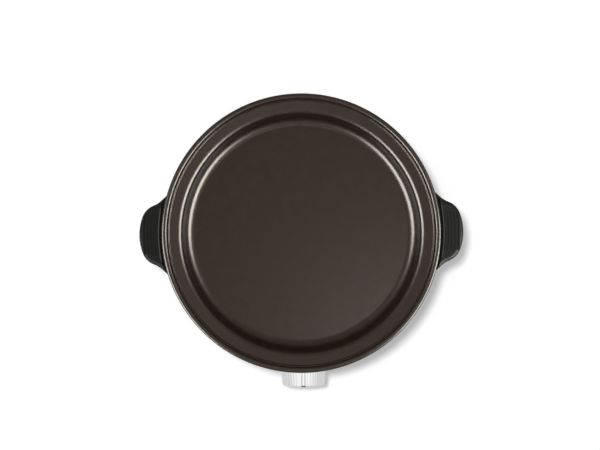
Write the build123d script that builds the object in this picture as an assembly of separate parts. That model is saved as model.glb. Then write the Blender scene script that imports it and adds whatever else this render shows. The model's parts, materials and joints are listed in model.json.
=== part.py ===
from build123d import *
import math
import os

# Small round electric egg cooker: a coated dish set in a moulded plastic housing.
# Frame: +Z is up, the control knob faces -Y and the handles point along +X and -X. The
# pieces are drawn about the dish's axis, with z = 0 in the plane of the table, and then
# moved along Y together, so that the origin is under the middle of the whole cooker.
# All sizes are in mm.

# --- Pan: a pressed aluminium dish with a rolled rim and a stepped flange
rim_radius = 80.0            # outside of the rolled rim
rim_height = 66.0            # crest of the rim above the table
bead_width = 3.0             # roll along the rim's edge
bead_roll = 1.4              # rounding of that roll
lid_seat_width = 0.9         # flat seat for a lid, just inside the roll
lid_seat_depth = 1.8         # that seat below the crest
flange_step = 1.2            # drop from the lid seat to the flange
step_run = 0.6               # width of the sloping step
flange_fall = 0.6            # fall of the flange towards the well
flange_thickness = 1.6       # at the well's shoulder
flange_width = 11.4          # from the rim's edge in to the shoulder of the well
well_depth = 18.0            # floor of the well below the crest
well_draft = 8.0             # lean of the well's wall, degrees
well_floor_fillet = 5.0
shoulder_fillet = 3.2
pan_wall = 2.5
pan_floor = 4.0
pan_corner = 3.5             # chamfer under the floor's edge

# --- Tubular heating element, pressed flat against the dish between two ribs
element_post_gap = 14.0      # its ring inside the circle of the screw posts
element_width = 6.6
element_height = 6.0
element_chamfer = 1.4
element_leg_x = 17.0         # the two legs, left and right of the middle
element_leg_setback = 18.6   # ends of the legs in front of the inlet's pad
element_bend = 7.0
rib_width = 1.2
rib_height = 4.5
bead_radius = 2.6            # ceramic end beads
bead_length = 3.0
tab_width = 6.3
tab_thickness = 0.8
element_tab_height = 11.5

# --- Screws and their holes
pan_screw_radius = 2.0
small_screw_radius = 1.5
screw_clearance = 0.25
screw_head_ratio = 1.9       # head radius over screw radius
screw_slot_width = 0.9
screw_slot_depth = 0.8
screw_end_gap = 1.0          # bottom of a blind hole beyond the screw's end
cover_screw_depth = 9.0      # of the holes in the cover's posts
flat_head_ratio = 0.8        # head height over screw radius, for the cover's screws

# --- Heat shield and the posts that hold it
pan_post_inset = 12.6        # posts' circle inside the shoulder of the well
pan_post_radius = 4.5
pan_post_height = 10.0
pan_screw_depth = 8.0
shield_thickness = 0.8
shield_edge_gap = 1.9        # inside the housing's wall
shield_lip = 3.0
wiring_notch_half = 26.0     # rear cut-out for the element's legs
wiring_notch_length = 21.0   # inwards from the ends of the legs
thermostat_notch_margin = 3.5
thermostat_notch_length = 14.5

# --- Housing: a moulded bowl that carries the dish by its flange
lip_inset = 1.8              # top lip of the housing inside the rim
belly_inset = 5.6            # outside at half height, inside the rim
foot_inset = 5.4             # outside at the lower edge, inside the belly
housing_wall = 2.5
housing_bottom = 4.0
shelf_thickness = 3.0        # inner shelf under the heat shield
shelf_width = 7.0
lug_width = 10.0
cover_post_inset = 6.5       # posts' circle inside the housing's lower edge
cover_post_angle = 22.5      # from the handles' line, degrees
cover_post_radius = 3.5
web_thickness = 2.0
housing_edge_round = 1.5     # lower outer edge
boss_edge_round = 0.8        # front edges of the dial boss and the inlet's pad

# --- Bottom cover and feet
cover_thickness = 2.0
cover_gap = 0.4              # round the cover, inside the housing
cover_recess = 0.5           # cover above the housing's lower edge
vent_width = 2.6
vent_length = 15.0
vent_count = 12
vent_inset = 12.0            # middle of the vents inside the circle of the feet
foot_pad_radius = 6.5
foot_pad_inset = 17.0        # circle of the feet inside the housing's lower edge
foot_pad_ease = 1.0          # chamfer round the sole
foot_plug_radius = 2.4
foot_cap_radius = 3.3
foot_cap_height = 1.6

# --- Handles
handle_projection = 13.1     # outermost point beyond the rim
handle_nose_radius = 30.0    # long arc along the outer edge
handle_corner_radius = 11.0
handle_flare_radius = 14.0
handle_knee_projection = 2.0  # where the flare meets the handle's side, beyond the rim
handle_knee_y = 18.1
handle_side_lean = 22.0      # degrees
handle_flare_lean = 43.0
handle_drop = 3.5            # top of the handle below the rim's crest
handle_height = 17.0
handle_wall = 2.6
handle_edge_fillet = 2.4
handle_rim_gap = 1.2         # air between the rim and the handle's top
handle_rim_ease = 0.5        # chamfer on the handle's edge beside that gap
handle_back_wall = 4.5
handle_screw_y = 10.0
handle_screw_length = 7.0
grip_rib_count = 5
grip_rib_pitch = 1.9
grip_rib_width = 0.8
grip_rib_height = 0.35
grip_rib_half_length = 11.0

# --- Control knob
knob_drop = 6.2              # its axis below the heat shield
knob_length = 14.2
knob_back_radius = 13.6
knob_front_radius = 12.6
flute_count = 44
flute_depth = 0.45
knob_chamfer = 1.0
knob_wall = 1.3
knob_face = 1.5
pointer_width = 2.0
pointer_depth = 0.6
pointer_start = 3.5          # inner end of the index from the knob's axis
pointer_rib_ratio = 0.7      # rib's width over the index's
core_hub_radius = 5.4
core_ring_wall = 1.6
core_web_count = 6
core_web_thickness = 1.4
core_setback = 1.5           # core inside the knob's rear edge
core_web_overlap = 1.0       # webs run this far into the hub
spindle_end_gap = 1.0        # between the spindle and the knob's face
spring_width = 4.0
spring_thickness = 0.4
spring_gap = 0.1

# --- Thermostat
spindle_radius = 3.0
spindle_running_clearance = 0.05
spindle_flat = 1.5           # from the axis to the D flat
spindle_flat_length = 11.0
spindle_collar_radius = 4.3
stop_outer_radius = 6.6
stop_lug_half_angle = 20.0
stop_tab_half_angle = 24.0
stop_lug_angle = -90.0       # of the lug at rest, from +X towards +Z
knob_travel = 270.0
blade_gap = 0.3              # between the spindle's tip and the bimetal blade
bracket_setback = 14.4       # front of the bracket's plate inside the housing's belly
bracket_thickness = 1.2
bracket_half_height = 7.0
bracket_right = 9.0
bracket_foot_x = -22.0       # middle of the foot that is screwed to the dish
bracket_foot_width = 12.0
bracket_foot_length = 14.0
bracket_screw_margin = 3.8   # from the foot's rear edge
bracket_bend = 1.8           # outside of the fold
stack_x = -14.5              # column of insulators, left of the spindle
stack_radius = 4.0
rivet_radius = 1.5
rivet_head_radius = 2.7
rivet_head = 1.0
insulator_thickness = 2.0
spacer_thickness = 3.0       # the tall insulator between the two moving blades
bimetal_thickness = 0.8
contact_spring_thickness = 0.4
contact_plate_thickness = 0.8
blade_width = 5.0
blade_tip = 11.0
contact_x = 8.0
contact_radius = 1.8
contact_height = 0.8
pusher_x = 4.0
pusher_radius = 1.2
tab_left_end = -27.0
tab_right_end = 19.0
bush_flange_radius = 6.5
bush_flange = 1.5
bush_nose_radius = 5.0
bush_nose = 6.5
bush_neck_radius = 4.4
stop_tab_gap = 0.3           # between the travel stop and the bush
dial_boss_radius = 18.5
dial_boss_stand = 1.4        # boss's face beyond the housing's belly
dial_boss_gap = 0.8          # between the boss and the knob
spindle_hole_clearance = 1.0

# --- Indicator lamp
lamp_angle = -56.0           # round the dish's axis, from +X, degrees
lamp_drop = 6.2              # its axis below the heat shield
lens_radius = 2.6
lens_rim = 0.9
lens_rim_radius = 3.6
lens_length = 7.0
lens_gap = 0.1
bulb_radius = 2.0
bulb_length = 9.0
lamp_lead_radius = 0.6
lamp_lead_offset = 1.0       # of the two leads from the lamp's axis

# --- Appliance inlet at the rear
inlet_height = 24.0
inlet_recess_width = 24.2
inlet_recess_height = 16.3
inlet_recess_depth = 17.0
inlet_corner_cut = 4.5
inlet_wall = 1.6
inlet_base = 4.0
inlet_flange = 2.0
inlet_flange_margin = 3.4
inlet_gap = 0.3
rear_pad_margin = 2.0
rear_pad_stand = 1.2         # pad's face beyond the housing's belly
pin_spacing = 14.0
pin_offset = 2.0
pin_width = 2.0
pin_height = 4.0
pin_length = 14.0
pin_tail = 6.0
snap_height = 1.2
snap_drop = 2.0              # hooks below the middle, clear of the cut corners
snap_width = 8.0
snap_length = 3.0

# --- Thermal fuse, its clip and the wiring
fuse_radius = 2.2
fuse_length = 14.0
fuse_setback = 39.0          # its axis in front of the ends of the element's legs
clip_width = 8.0
clip_thickness = 0.8
clip_ear = 9.0
wire_radius = 1.0
wire_bend = 4.0
wire_lead = 7.0              # straight run out of a terminal
wire_clearance = 2.0         # between a wire's middle and the sheet that it passes
wire_swerve = 6.0            # sideways step of a wire through the rear cut-out
wire_lane = 28.0             # wires that run forwards, left of the middle
lamp_lead_lane = 44.0        # the lamp's long lead, right of the middle
tab_share = 1.6              # two wires on one terminal, each from its middle

# --- Earth connection on the underside of the dish
earth_tag_gap = 8.0          # its screw in front of the pins' terminal tails
earth_tag_radius = 4.0
earth_tag_width = 4.0
earth_tag_tail = 6.0         # tail beyond the ring

# --- Heights and places that follow from the sizes above
floor_top = rim_height - well_depth
pan_underside = floor_top - pan_floor
lid_seat_z = rim_height - lid_seat_depth
flange_z = lid_seat_z - flange_step
shoulder_z = flange_z - flange_fall
flange_seat_z = shoulder_z - flange_thickness
shield_top = pan_underside - pan_post_height
shield_z = shield_top - shield_thickness
shelf_z = shield_z - shelf_thickness
knob_height = shield_z - knob_drop
lip_radius = rim_radius - lip_inset
well_radius = rim_radius - flange_width
belly_radius = rim_radius - belly_inset
foot_radius = belly_radius - foot_inset
pan_post_circle = well_radius - pan_post_inset
element_ring_radius = pan_post_circle - element_post_gap
shield_radius = belly_radius - housing_wall - shield_edge_gap
cover_post_circle = foot_radius - cover_post_inset
foot_circle = foot_radius - foot_pad_inset
vent_circle = foot_circle - vent_inset
handle_top = rim_height - handle_drop
handle_bottom = handle_top - handle_height
handle_reach = rim_radius + handle_projection
handle_knee_x = rim_radius + handle_knee_projection
cover_z = housing_bottom + cover_recess
cover_top = cover_z + cover_thickness
dial_boss_face = belly_radius + dial_boss_stand
knob_back = dial_boss_face + dial_boss_gap
knob_front = knob_back + knob_length
bracket_face = belly_radius - bracket_setback
bracket_back = bracket_face - bracket_thickness
thermostat_notch_start = bracket_face - thermostat_notch_length
thermostat_notch_left = bracket_foot_x - bracket_foot_width / 2 - thermostat_notch_margin
thermostat_notch_right = tab_right_end + thermostat_notch_margin
lamp_height = shield_z - lamp_drop
rear_pad_face = belly_radius + rear_pad_stand
element_leg_end = rear_pad_face - element_leg_setback
fuse_y = element_leg_end - fuse_setback
wiring_notch_start = element_leg_end - wiring_notch_length
diagonals = [45, 135, 225, 315]
wire_level = (cover_top + shelf_z) / 2
tolerance = 0.01             # for telling edges and corners apart by their place
cover_post_angles = [cover_post_angle, 180 - cover_post_angle, 180 + cover_post_angle, -cover_post_angle]


def turned(points, radii=None):
    """Solid of revolution about the dish's axis from a closed (radius, height) profile."""
    outline = FilletPolyline(*points, radius=radii, close=True) if radii else Polyline(*points, close=True)
    return revolve(Plane.XZ * make_face(outline), Axis.Z)


def disc(radius, low, high, x=0.0, y=0.0):
    """Upright cylinder between two heights."""
    return Pos(x, y, low) * extrude(Circle(radius), high - low)


def block(x_range, y_range, z_range):
    """Box between pairs of coordinates."""
    sizes = [high - low for low, high in (x_range, y_range, z_range)]
    middle = [(high + low) / 2 for low, high in (x_range, y_range, z_range)]
    return Pos(*middle) * Box(*sizes)


def rod(radius, back, front, x=0.0, z=knob_height):
    """Cylinder along -Y, from `back` to `front`, both counted from the dish's axis."""
    return Pos(x, -back, z) * Rot(90, 0, 0) * extrude(Circle(radius), front - back)


def at_angle(shape, radius, angle):
    """Copy of a shape moved out to a radius and turned round the dish's axis."""
    return Rot(0, 0, angle) * Pos(radius, 0, 0) * shape


def slotted_screw(radius, length, head_height):
    """Screw along +Z with its head below z = 0 and a driving slot across the head."""
    head_radius = radius * screw_head_ratio
    head = Pos(0, 0, -head_height) * extrude(Circle(head_radius), head_height)
    slot = block((-head_radius, head_radius), (-screw_slot_width / 2, screw_slot_width / 2),
                 (-head_height, screw_slot_depth - head_height))
    return head - slot + extrude(Circle(radius), length)


# ---------------------------------------------------------------- pan
def wall_radius(height):
    """Inside radius of the well's leaning wall at a height."""
    return well_radius - (shoulder_z - height) * math.tan(math.radians(well_draft))


def pan():
    """Dish with its stepped flange, rolled rim, element ribs and screw posts."""
    skin = pan_wall / math.cos(math.radians(well_draft))
    roll_inside = rim_radius - bead_width
    seat_inside = roll_inside - lid_seat_width
    profile = [
        (0, floor_top), (wall_radius(floor_top), floor_top), (well_radius, shoulder_z),
        (seat_inside - step_run, flange_z), (seat_inside, lid_seat_z), (roll_inside, lid_seat_z),
        (roll_inside, rim_height), (rim_radius, rim_height), (rim_radius, flange_seat_z),
        (wall_radius(flange_seat_z) + skin, flange_seat_z),
        (wall_radius(pan_underside + pan_corner) + skin, pan_underside + pan_corner),
        (wall_radius(pan_underside) + skin - pan_corner, pan_underside), (0, pan_underside),
    ]
    radii = [0, well_floor_fillet, shoulder_fillet, 0, 0, 0, bead_roll, bead_roll, 0, 0, 0, 0, 0]
    body = turned(profile, radii)
    rib_plan = trace(element_path(), element_width + 2 * rib_width) - trace(element_path(), element_width)
    beyond = Pos(0, element_leg_end + rim_radius / 2) * Rectangle(rim_radius, rim_radius)
    ribs = Pos(0, 0, pan_underside - rib_height) * extrude(rib_plan - beyond, rib_height)
    posts = [at_angle(disc(pan_post_radius, shield_top, pan_underside), pan_post_circle, a)
             for a in diagonals]
    holes = [at_angle(disc(pan_screw_radius, shield_top, shield_top + pan_screw_depth), pan_post_circle, a)
             for a in diagonals]
    threads = [disc(small_screw_radius, pan_underside, pan_underside + pan_floor / 2, x, y)
               for x, y in underside_screws()]
    return body + ribs + posts - holes - threads


def underside_screws():
    """Places of the small screws under the dish: the bracket's, the fuse clip's and the earth tag's."""
    bracket = (bracket_foot_x, bracket_foot_length - bracket_screw_margin - bracket_face)
    clip = (0, fuse_y + fuse_radius + clip_thickness + clip_ear / 2)
    earth = (0, pin_tail_end() - wire_lead - earth_tag_gap)
    return [bracket, clip, earth]


# ---------------------------------------------------------------- heating element
def element_path():
    """Centre line of the element seen from above: a ring open to the rear, with two legs."""
    ring_y = math.sqrt(element_ring_radius**2 - element_leg_x**2)
    turn = math.degrees(math.atan2(ring_y, element_leg_x))
    ring = CenterArc((0, 0), element_ring_radius, 180 - turn, 180 + 2 * turn)
    legs = [Line((side * element_leg_x, element_leg_end), (side * element_leg_x, ring_y))
            for side in (-1, 1)]
    path = Wire([legs[0], ring, legs[1]])
    corners = [v for v in path.vertices() if abs(v.Y - ring_y) < tolerance]
    return path.fillet_2d(element_bend, corners)


def heating_element():
    """Sheathed tube pressed to an eight-sided section, flat against the dish."""
    tube = extrude(trace(element_path(), element_width), element_height)
    edges = tube.faces().sort_by(Axis.Z)[0].edges() + tube.faces().sort_by(Axis.Z)[-1].edges()
    long_edges = [e for e in edges if abs(e.center().Y - element_leg_end) > tolerance]
    return Pos(0, 0, pan_underside - element_height) * chamfer(long_edges, element_chamfer)


def element_beads():
    """Ceramic beads that seal the element's two ends."""
    middle = pan_underside - element_height / 2
    return Compound([
        rod(bead_radius, -(element_leg_end + bead_length), -element_leg_end, side * element_leg_x, middle)
        for side in (-1, 1)])


def element_tabs():
    """Flat terminals that hang from the element's ends."""
    face = element_leg_end + bead_length
    top = pan_underside - element_height / 2 + bead_radius
    return Compound([
        block((side * element_leg_x - tab_width / 2, side * element_leg_x + tab_width / 2),
              (face, face + tab_thickness), (top - element_tab_height, top))
        for side in (-1, 1)])


# ---------------------------------------------------------------- heat shield
def notches(low, high):
    """Rear cut-out for the wiring and front cut-out for the thermostat, between two heights."""
    rear = block((-wiring_notch_half, wiring_notch_half), (wiring_notch_start, rim_radius), (low, high))
    front = block((thermostat_notch_left, thermostat_notch_right),
                  (-rim_radius, -thermostat_notch_start), (low, high))
    return [rear, front]


def heat_shield():
    """Thin steel tray between the element and the housing, clamped under the dish's posts."""
    edge = shield_radius - shield_thickness
    lip_top = shield_z + shield_lip + shield_thickness
    tray = turned([(0, shield_z), (shield_radius, shield_z), (shield_radius, lip_top), (edge, lip_top),
                   (edge, shield_top), (0, shield_top)])
    holes = [at_angle(disc(pan_screw_radius + screw_clearance, shield_z, shield_top), pan_post_circle, a)
             for a in diagonals]
    return tray - notches(shield_z, lip_top) - holes


def pan_screws():
    """Four screws that draw the dish down on to the housing."""
    length = shelf_thickness + shield_thickness + pan_screw_depth - screw_end_gap
    screw = slotted_screw(pan_screw_radius, length, pan_screw_radius)
    return Compound([at_angle(Pos(0, 0, shelf_z) * screw, pan_post_circle, a) for a in diagonals])


# ---------------------------------------------------------------- housing
def housing_side(inset=0.0):
    """The housing's curved side as an arc of (radius, height) points, set in by `inset`."""
    middle = (housing_bottom + flange_seat_z) / 2
    return ThreePointArc((foot_radius - inset, housing_bottom), (belly_radius - inset, middle),
                         (lip_radius - inset, flange_seat_z))


def housing_radius(height, inset=0.0):
    """Radius of the housing's side at a height, set in by `inset`."""
    side = housing_side(inset)
    bulge = math.copysign(1, belly_radius - side.arc_center.X)
    return side.arc_center.X + bulge * math.sqrt(side.radius**2 - (height - side.arc_center.Y)**2)


def housing_outline(inset):
    """Closed half profile from the axis to the housing's curved side, set in by `inset`."""
    side = housing_side(inset)
    rest = Polyline(side @ 1, (0, flange_seat_z), (0, housing_bottom), side @ 0)
    return Plane.XZ * make_face(side.edges() + rest.edges())


def housing_envelope():
    """The housing as a closed bowl, used to cut what seats against its outside."""
    outline = housing_outline(0)
    corner = [v for v in outline.vertices() if abs(v.X - foot_radius) < tolerance]
    return revolve(fillet(corner, housing_edge_round), Axis.Z)


def housing_cavity():
    """Everything inside the housing's wall."""
    return revolve(housing_outline(housing_wall), Axis.Z)


def shelf():
    """Inner shelf with lugs for the dish's screws and webbed posts for the bottom cover."""
    inner = belly_radius - housing_wall - shelf_width
    ring = Pos(0, 0, shelf_z) * extrude(Circle(belly_radius) - Circle(inner), shelf_thickness)
    lug = (Pos(0, 0, shelf_z) * extrude(Circle(lug_width / 2), shelf_thickness)
           + block((0, belly_radius - pan_post_circle), (-lug_width / 2, lug_width / 2),
                   (shelf_z, shield_z)))
    post = disc(cover_post_radius, cover_top, shield_z)
    web = block((0, belly_radius - cover_post_circle), (-web_thickness / 2, web_thickness / 2),
                (cover_top, shield_z))
    fittings = ring
    for angle in diagonals:
        fittings += at_angle(lug, pan_post_circle, angle)
    for angle in cover_post_angles:
        fittings += at_angle(post, cover_post_circle, angle)
        fittings += at_angle(web, cover_post_circle, angle)
    return fittings - notches(shelf_z, shield_z)


def rounded_plate(width, height, corner, back, front, z):
    """Upright plate with rounded corners at the rear of the cooker, between two depths along +Y."""
    return Pos(0, front, z) * Rot(90, 0, 0) * extrude(RectangleRounded(width, height, corner), front - back)


def inlet_section(growth):
    """Outline of the inlet: a rectangle with its two upper corners cut, grown all round."""
    half_width = inlet_recess_width / 2 + growth
    half_height = inlet_recess_height / 2 + growth
    cut = inlet_corner_cut + growth * (2 - math.sqrt(2))
    return make_face(Polyline(
        (-half_width, -half_height), (half_width, -half_height), (half_width, half_height - cut),
        (half_width - cut, half_height), (cut - half_width, half_height), (-half_width, half_height - cut),
        close=True))


def inlet_prism(growth, back, front):
    """Prism of the inlet's outline between two depths along +Y."""
    return Pos(0, front, inlet_height) * Rot(90, 0, 0) * extrude(inlet_section(growth), front - back)


def handle_screw_places():
    """(side, y) of the screws that hold the two handles."""
    return [(side, y) for side in (-1, 1) for y in (-handle_screw_y, handle_screw_y)]


def cross_rod(radius, start, end, y, z):
    """Cylinder along +X between two x values."""
    return Pos(start, y, z) * Rot(0, 90, 0) * extrude(Circle(radius), end - start)


def rear_pad(back, front):
    """Flat pad round the inlet, between two depths along +Y."""
    margin = 2 * (inlet_flange_margin + rear_pad_margin)
    return rounded_plate(inlet_recess_width + margin, inlet_recess_height + margin, inlet_flange_margin,
                         back, front, inlet_height)


def housing():
    """Moulded bowl with dial boss, inlet pad, inner shelf, lugs, posts and openings."""
    inside = housing_cavity()
    boss = rod(dial_boss_radius, foot_radius / 2, dial_boss_face)
    boss = fillet(boss.faces().sort_by(Axis.Y)[0].edges(), boss_edge_round)
    pad = rear_pad(foot_radius / 2, rear_pad_face)
    pad = fillet(pad.faces().sort_by(Axis.Y)[-1].edges(), boss_edge_round)
    above_edge = disc(rear_pad_face + rim_radius, housing_bottom, flange_seat_z)
    shell = housing_envelope() + ((boss + pad) & above_edge) - inside
    shell += shelf() & inside
    shell -= rod(dial_boss_radius, dial_boss_face, rim_radius)
    shell -= rear_pad(rear_pad_face, rim_radius)
    shell -= radial_rod(lens_rim_radius + lens_gap, lens_seat(), rim_radius)
    shell -= rod(spindle_radius + spindle_hole_clearance, foot_radius / 2, rim_radius)
    shell -= inlet_prism(inlet_wall + inlet_gap, foot_radius / 2, rim_radius)
    shell -= radial_rod(lens_radius, foot_radius / 2, rim_radius)
    for angle in diagonals:
        hole = disc(pan_screw_radius + screw_clearance, shelf_z, shield_z)
        shell -= at_angle(hole, pan_post_circle, angle)
    for angle in cover_post_angles:
        shell -= at_angle(disc(small_screw_radius, cover_top, cover_top + cover_screw_depth),
                          cover_post_circle, angle)
    for side, y in handle_screw_places():
        reach = sorted((side * foot_radius, side * rim_radius))
        shell -= cross_rod(small_screw_radius + screw_clearance, *reach, y, handle_screw_z())
    return shell


# ---------------------------------------------------------------- handles
def handle_screw_z():
    """Height of the handles' screws."""
    return (handle_bottom + flange_seat_z) / 2


def handle_outline():
    """The handle's outline with its corners rounded and its flare eased."""
    lean = math.radians(handle_side_lean)
    flare = math.radians(handle_flare_lean)
    root_x = lip_radius - handle_back_wall
    root_y = handle_knee_y + (handle_knee_x - root_x) * math.tan(flare)
    centre_x = handle_reach - handle_nose_radius
    # The side line meets the nose arc where their distance from the nose's centre is its radius.
    offset = (handle_knee_y + (handle_knee_x - centre_x) * math.tan(lean)) * math.cos(lean)
    swing = math.acos(offset / handle_nose_radius)
    corner_x = centre_x + handle_nose_radius * math.sin(swing + lean)
    corner_y = handle_nose_radius * math.cos(swing + lean)
    nose = ThreePointArc((corner_x, corner_y), (handle_reach, 0), (corner_x, -corner_y))
    upper = Polyline((root_x, root_y), (handle_knee_x, handle_knee_y), (corner_x, corner_y))
    lower = Polyline((corner_x, -corner_y), (handle_knee_x, -handle_knee_y), (root_x, -root_y))
    root = Line((root_x, -root_y), (root_x, root_y))
    outline = make_face(upper.edges() + nose.edges() + lower.edges() + root.edges())
    # The two roundings share the straight side between them.
    side = math.dist((handle_knee_x, handle_knee_y), (corner_x, corner_y))
    corner_limit = 0.6 * side / math.tan(swing / 2)
    knee_limit = 0.39 * side / math.tan((flare - lean) / 2)
    corners = [v for v in outline.vertices() if abs(v.X - corner_x) < tolerance]
    outline = fillet(corners, min(handle_corner_radius, corner_limit))
    knees = [v for v in outline.vertices()
             if abs(v.X - handle_knee_x) < tolerance and abs(abs(v.Y) - handle_knee_y) < tolerance]
    return fillet(knees, min(handle_flare_radius, knee_limit))


def right_handle():
    """Hollow moulded handle, open below, with grip ribs on top and bosses for two screws."""
    plan = handle_outline()
    body = Pos(0, 0, handle_bottom) * extrude(plan, handle_height)
    rim_side = lip_radius - handle_back_wall
    top_edges = [e for e in body.faces().sort_by(Axis.Z)[-1].edges()
                 if abs(e.center().X - rim_side) > tolerance]
    body = fillet(top_edges, handle_edge_fillet)
    rim_side_radius = rim_radius + handle_rim_gap
    rim_space = turned([(0, flange_seat_z), (rim_side_radius, flange_seat_z),
                        (rim_side_radius, handle_top - handle_rim_ease),
                        (rim_side_radius + handle_rim_ease, handle_top),
                        (rim_side_radius + handle_rim_ease, rim_height), (0, rim_height)])
    inner = Pos(0, 0, handle_bottom) * extrude(offset(plan, -handle_wall), handle_height - handle_wall)
    back = disc(lip_radius + handle_back_wall, handle_bottom, handle_top)
    rib_root = handle_edge_fillet / 2
    ribs = [Pos(0, 0, handle_top - rib_root) * extrude(grip_rib(i), grip_rib_height + rib_root)
            for i in range(grip_rib_count)]
    return body - (inner - back) - rim_space - housing_envelope() - handle_screw_holes() + ribs


def handle_screw_holes():
    """Blind holes in the right handle's back wall."""
    end = handle_screw_seat() + housing_wall + handle_screw_length
    return [cross_rod(small_screw_radius, foot_radius, end, y, handle_screw_z())
            for y in (-handle_screw_y, handle_screw_y)]


def grip_rib(index):
    """One low rib on the handle's top, an arc that follows the rim."""
    radius = rim_radius + handle_rim_gap + grip_rib_pitch * (index + 1)
    ring = Circle(radius + grip_rib_width / 2) - Circle(radius - grip_rib_width / 2)
    half = grip_rib_half_length
    return ring & (Pos(radius, 0) * Rectangle(2 * half, 2 * half))


def handle_screw_seat():
    """Where the handle screws' heads seat on the housing's inner wall, along X."""
    head_radius = small_screw_radius * screw_head_ratio
    inner = housing_radius(handle_screw_z() - head_radius, housing_wall)
    return math.sqrt(inner**2 - (handle_screw_y + head_radius)**2)


def left_handle():
    """The right-hand handle mirrored."""
    return mirror(right_handle(), Plane.YZ)


def handle_screws():
    """Four screws, driven outwards from inside the housing into the handles."""
    length = housing_wall + handle_screw_length - screw_end_gap
    screw = slotted_screw(small_screw_radius, length, small_screw_radius)
    return Compound([
        Pos(side * handle_screw_seat(), y, handle_screw_z()) * Rot(0, side * 90, 0) * screw
        for side, y in handle_screw_places()])


# ---------------------------------------------------------------- bottom cover and feet
def bottom_cover():
    """Round plate inside the housing's lower edge, with vents, screw holes and foot holes."""
    plate = disc(foot_radius - housing_wall - cover_gap, cover_z, cover_top)
    slot = Pos(0, 0, cover_z) * extrude(SlotOverall(vent_length, vent_width), cover_thickness)
    vents = [at_angle(slot, vent_circle, i * 360 / vent_count) for i in range(vent_count)]
    screw_hole = disc(small_screw_radius + screw_clearance, cover_z, cover_top)
    screw_holes = [at_angle(screw_hole, cover_post_circle, a) for a in cover_post_angles]
    foot_holes = [at_angle(disc(foot_plug_radius, cover_z, cover_top), foot_circle, a) for a in diagonals]
    return plate - vents - screw_holes - foot_holes


def cover_screws():
    """Four screws up through the cover into the housing's posts."""
    length = cover_thickness + cover_screw_depth - screw_end_gap
    screw = slotted_screw(small_screw_radius, length, small_screw_radius * flat_head_ratio)
    return Compound([at_angle(Pos(0, 0, cover_z) * screw, cover_post_circle, a)
                              for a in cover_post_angles])


def foot(angle):
    """Rubber foot plugged into the cover."""
    profile = [(0, 0), (foot_pad_radius - foot_pad_ease, 0), (foot_pad_radius, foot_pad_ease),
               (foot_pad_radius, cover_z),
               (foot_plug_radius, cover_z), (foot_plug_radius, cover_top), (foot_cap_radius, cover_top),
               (foot_plug_radius, cover_top + foot_cap_height), (0, cover_top + foot_cap_height)]
    return at_angle(turned(profile), foot_circle, angle)


# ---------------------------------------------------------------- control knob
def dial_plane(depth):
    """Plane across the knob's axis at a depth along -Y; its own y points up."""
    return Plane(origin=(0, -depth, knob_height), x_dir=(1, 0, 0), z_dir=(0, -1, 0))


def fluted_circle(radius):
    """Outline with shallow V flutes all round."""
    points = []
    for i in range(2 * flute_count):
        angle = math.pi * (i + 0.5) / flute_count
        reach = radius - flute_depth * (i % 2)
        points.append((reach * math.sin(angle), reach * math.cos(angle)))
    return make_face(Polyline(*points, close=True))


def knob_envelope(growth):
    """Tapered body of the knob with a chamfered front edge, grown all round."""
    back, front = knob_back_radius + growth, knob_front_radius + growth
    profile = Polyline((0, knob_back), (back, knob_back), (front, knob_front - knob_chamfer),
                       (front - knob_chamfer, knob_front), (0, knob_front), close=True)
    turned_body = revolve(make_face(profile), Axis.Y)
    return Pos(0, 0, knob_height) * mirror(turned_body, Plane.XZ)


def knob_bore():
    """Radius of the knob sleeve's bore."""
    return knob_front_radius - flute_depth - knob_wall


def knob_sleeve():
    """Fluted, tapered cap of the knob with a raised pointer rib and a slot for the index."""
    flutes = loft([dial_plane(knob_back) * fluted_circle(knob_back_radius),
                   dial_plane(knob_front) * fluted_circle(knob_front_radius)], ruled=True)
    half = pointer_width * pointer_rib_ratio / 2
    rib = block((-half, half), (-knob_front, -knob_back),
                (knob_height + knob_bore(), knob_height + knob_back_radius + flute_depth))
    body = flutes & knob_envelope(0) + rib & knob_envelope(flute_depth)
    bore = rod(knob_bore(), knob_back, knob_front - knob_face)
    return body - bore - pointer_bar()


def pointer_bar():
    """Index bar let into the knob's face, from near its middle out over the front edge."""
    half = pointer_width / 2
    bar = block((-half, half), (-knob_front, pointer_depth - knob_front),
                (knob_height + pointer_start, knob_height + knob_front_radius))
    return bar & knob_envelope(0)


def knob_core():
    """Plastic core pressed into the sleeve: a ring, webs and a hub bored for the spindle."""
    back, front = knob_back + core_setback, knob_front - knob_face
    ring = rod(knob_bore(), back, front) - rod(knob_bore() - core_ring_wall, back, front)
    hub = rod(core_hub_radius, back, front)
    half = core_web_thickness / 2
    web = block((-half, half), (-front, -back),
                (core_hub_radius - core_web_overlap, knob_bore() - core_ring_wall / 2))
    webs = [Pos(0, 0, knob_height) * Rot(0, (i + 0.5) * 360 / core_web_count, 0) * web
            for i in range(core_web_count)]
    slot = block((-spring_width / 2, spring_width / 2), (-spindle_front(), -back),
                 (knob_height + spindle_flat, knob_height + spindle_radius))
    return ring + hub + webs - spindle_blank() - slot


def knob_spring():
    """Bowed leaf between the spindle's flat and the core, which keeps the knob on."""
    start, end = -(knob_back + core_setback + spindle_end_gap), -(spindle_front() - spindle_end_gap)
    low = knob_height + spindle_flat
    high = knob_height + spindle_radius - spring_thickness
    lower = ThreePointArc((start, high), ((start + end) / 2, low), (end, high))
    upper = ThreePointArc((start, high + spring_thickness), ((start + end) / 2, low + spring_thickness),
                          (end, high + spring_thickness))
    ends = [Line(lower @ 0, upper @ 0), Line(lower @ 1, upper @ 1)]
    section = Plane.YZ * make_face(lower.edges() + upper.edges() + [e.edge() for e in ends])
    width = spring_width - 2 * spring_gap
    return Pos(-width / 2, 0, 0) * extrude(section, width, dir=(1, 0, 0))


# ---------------------------------------------------------------- thermostat
def spindle_front():
    """Front end of the spindle, counted from the dish's axis."""
    return knob_front - knob_face - spindle_end_gap


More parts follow.
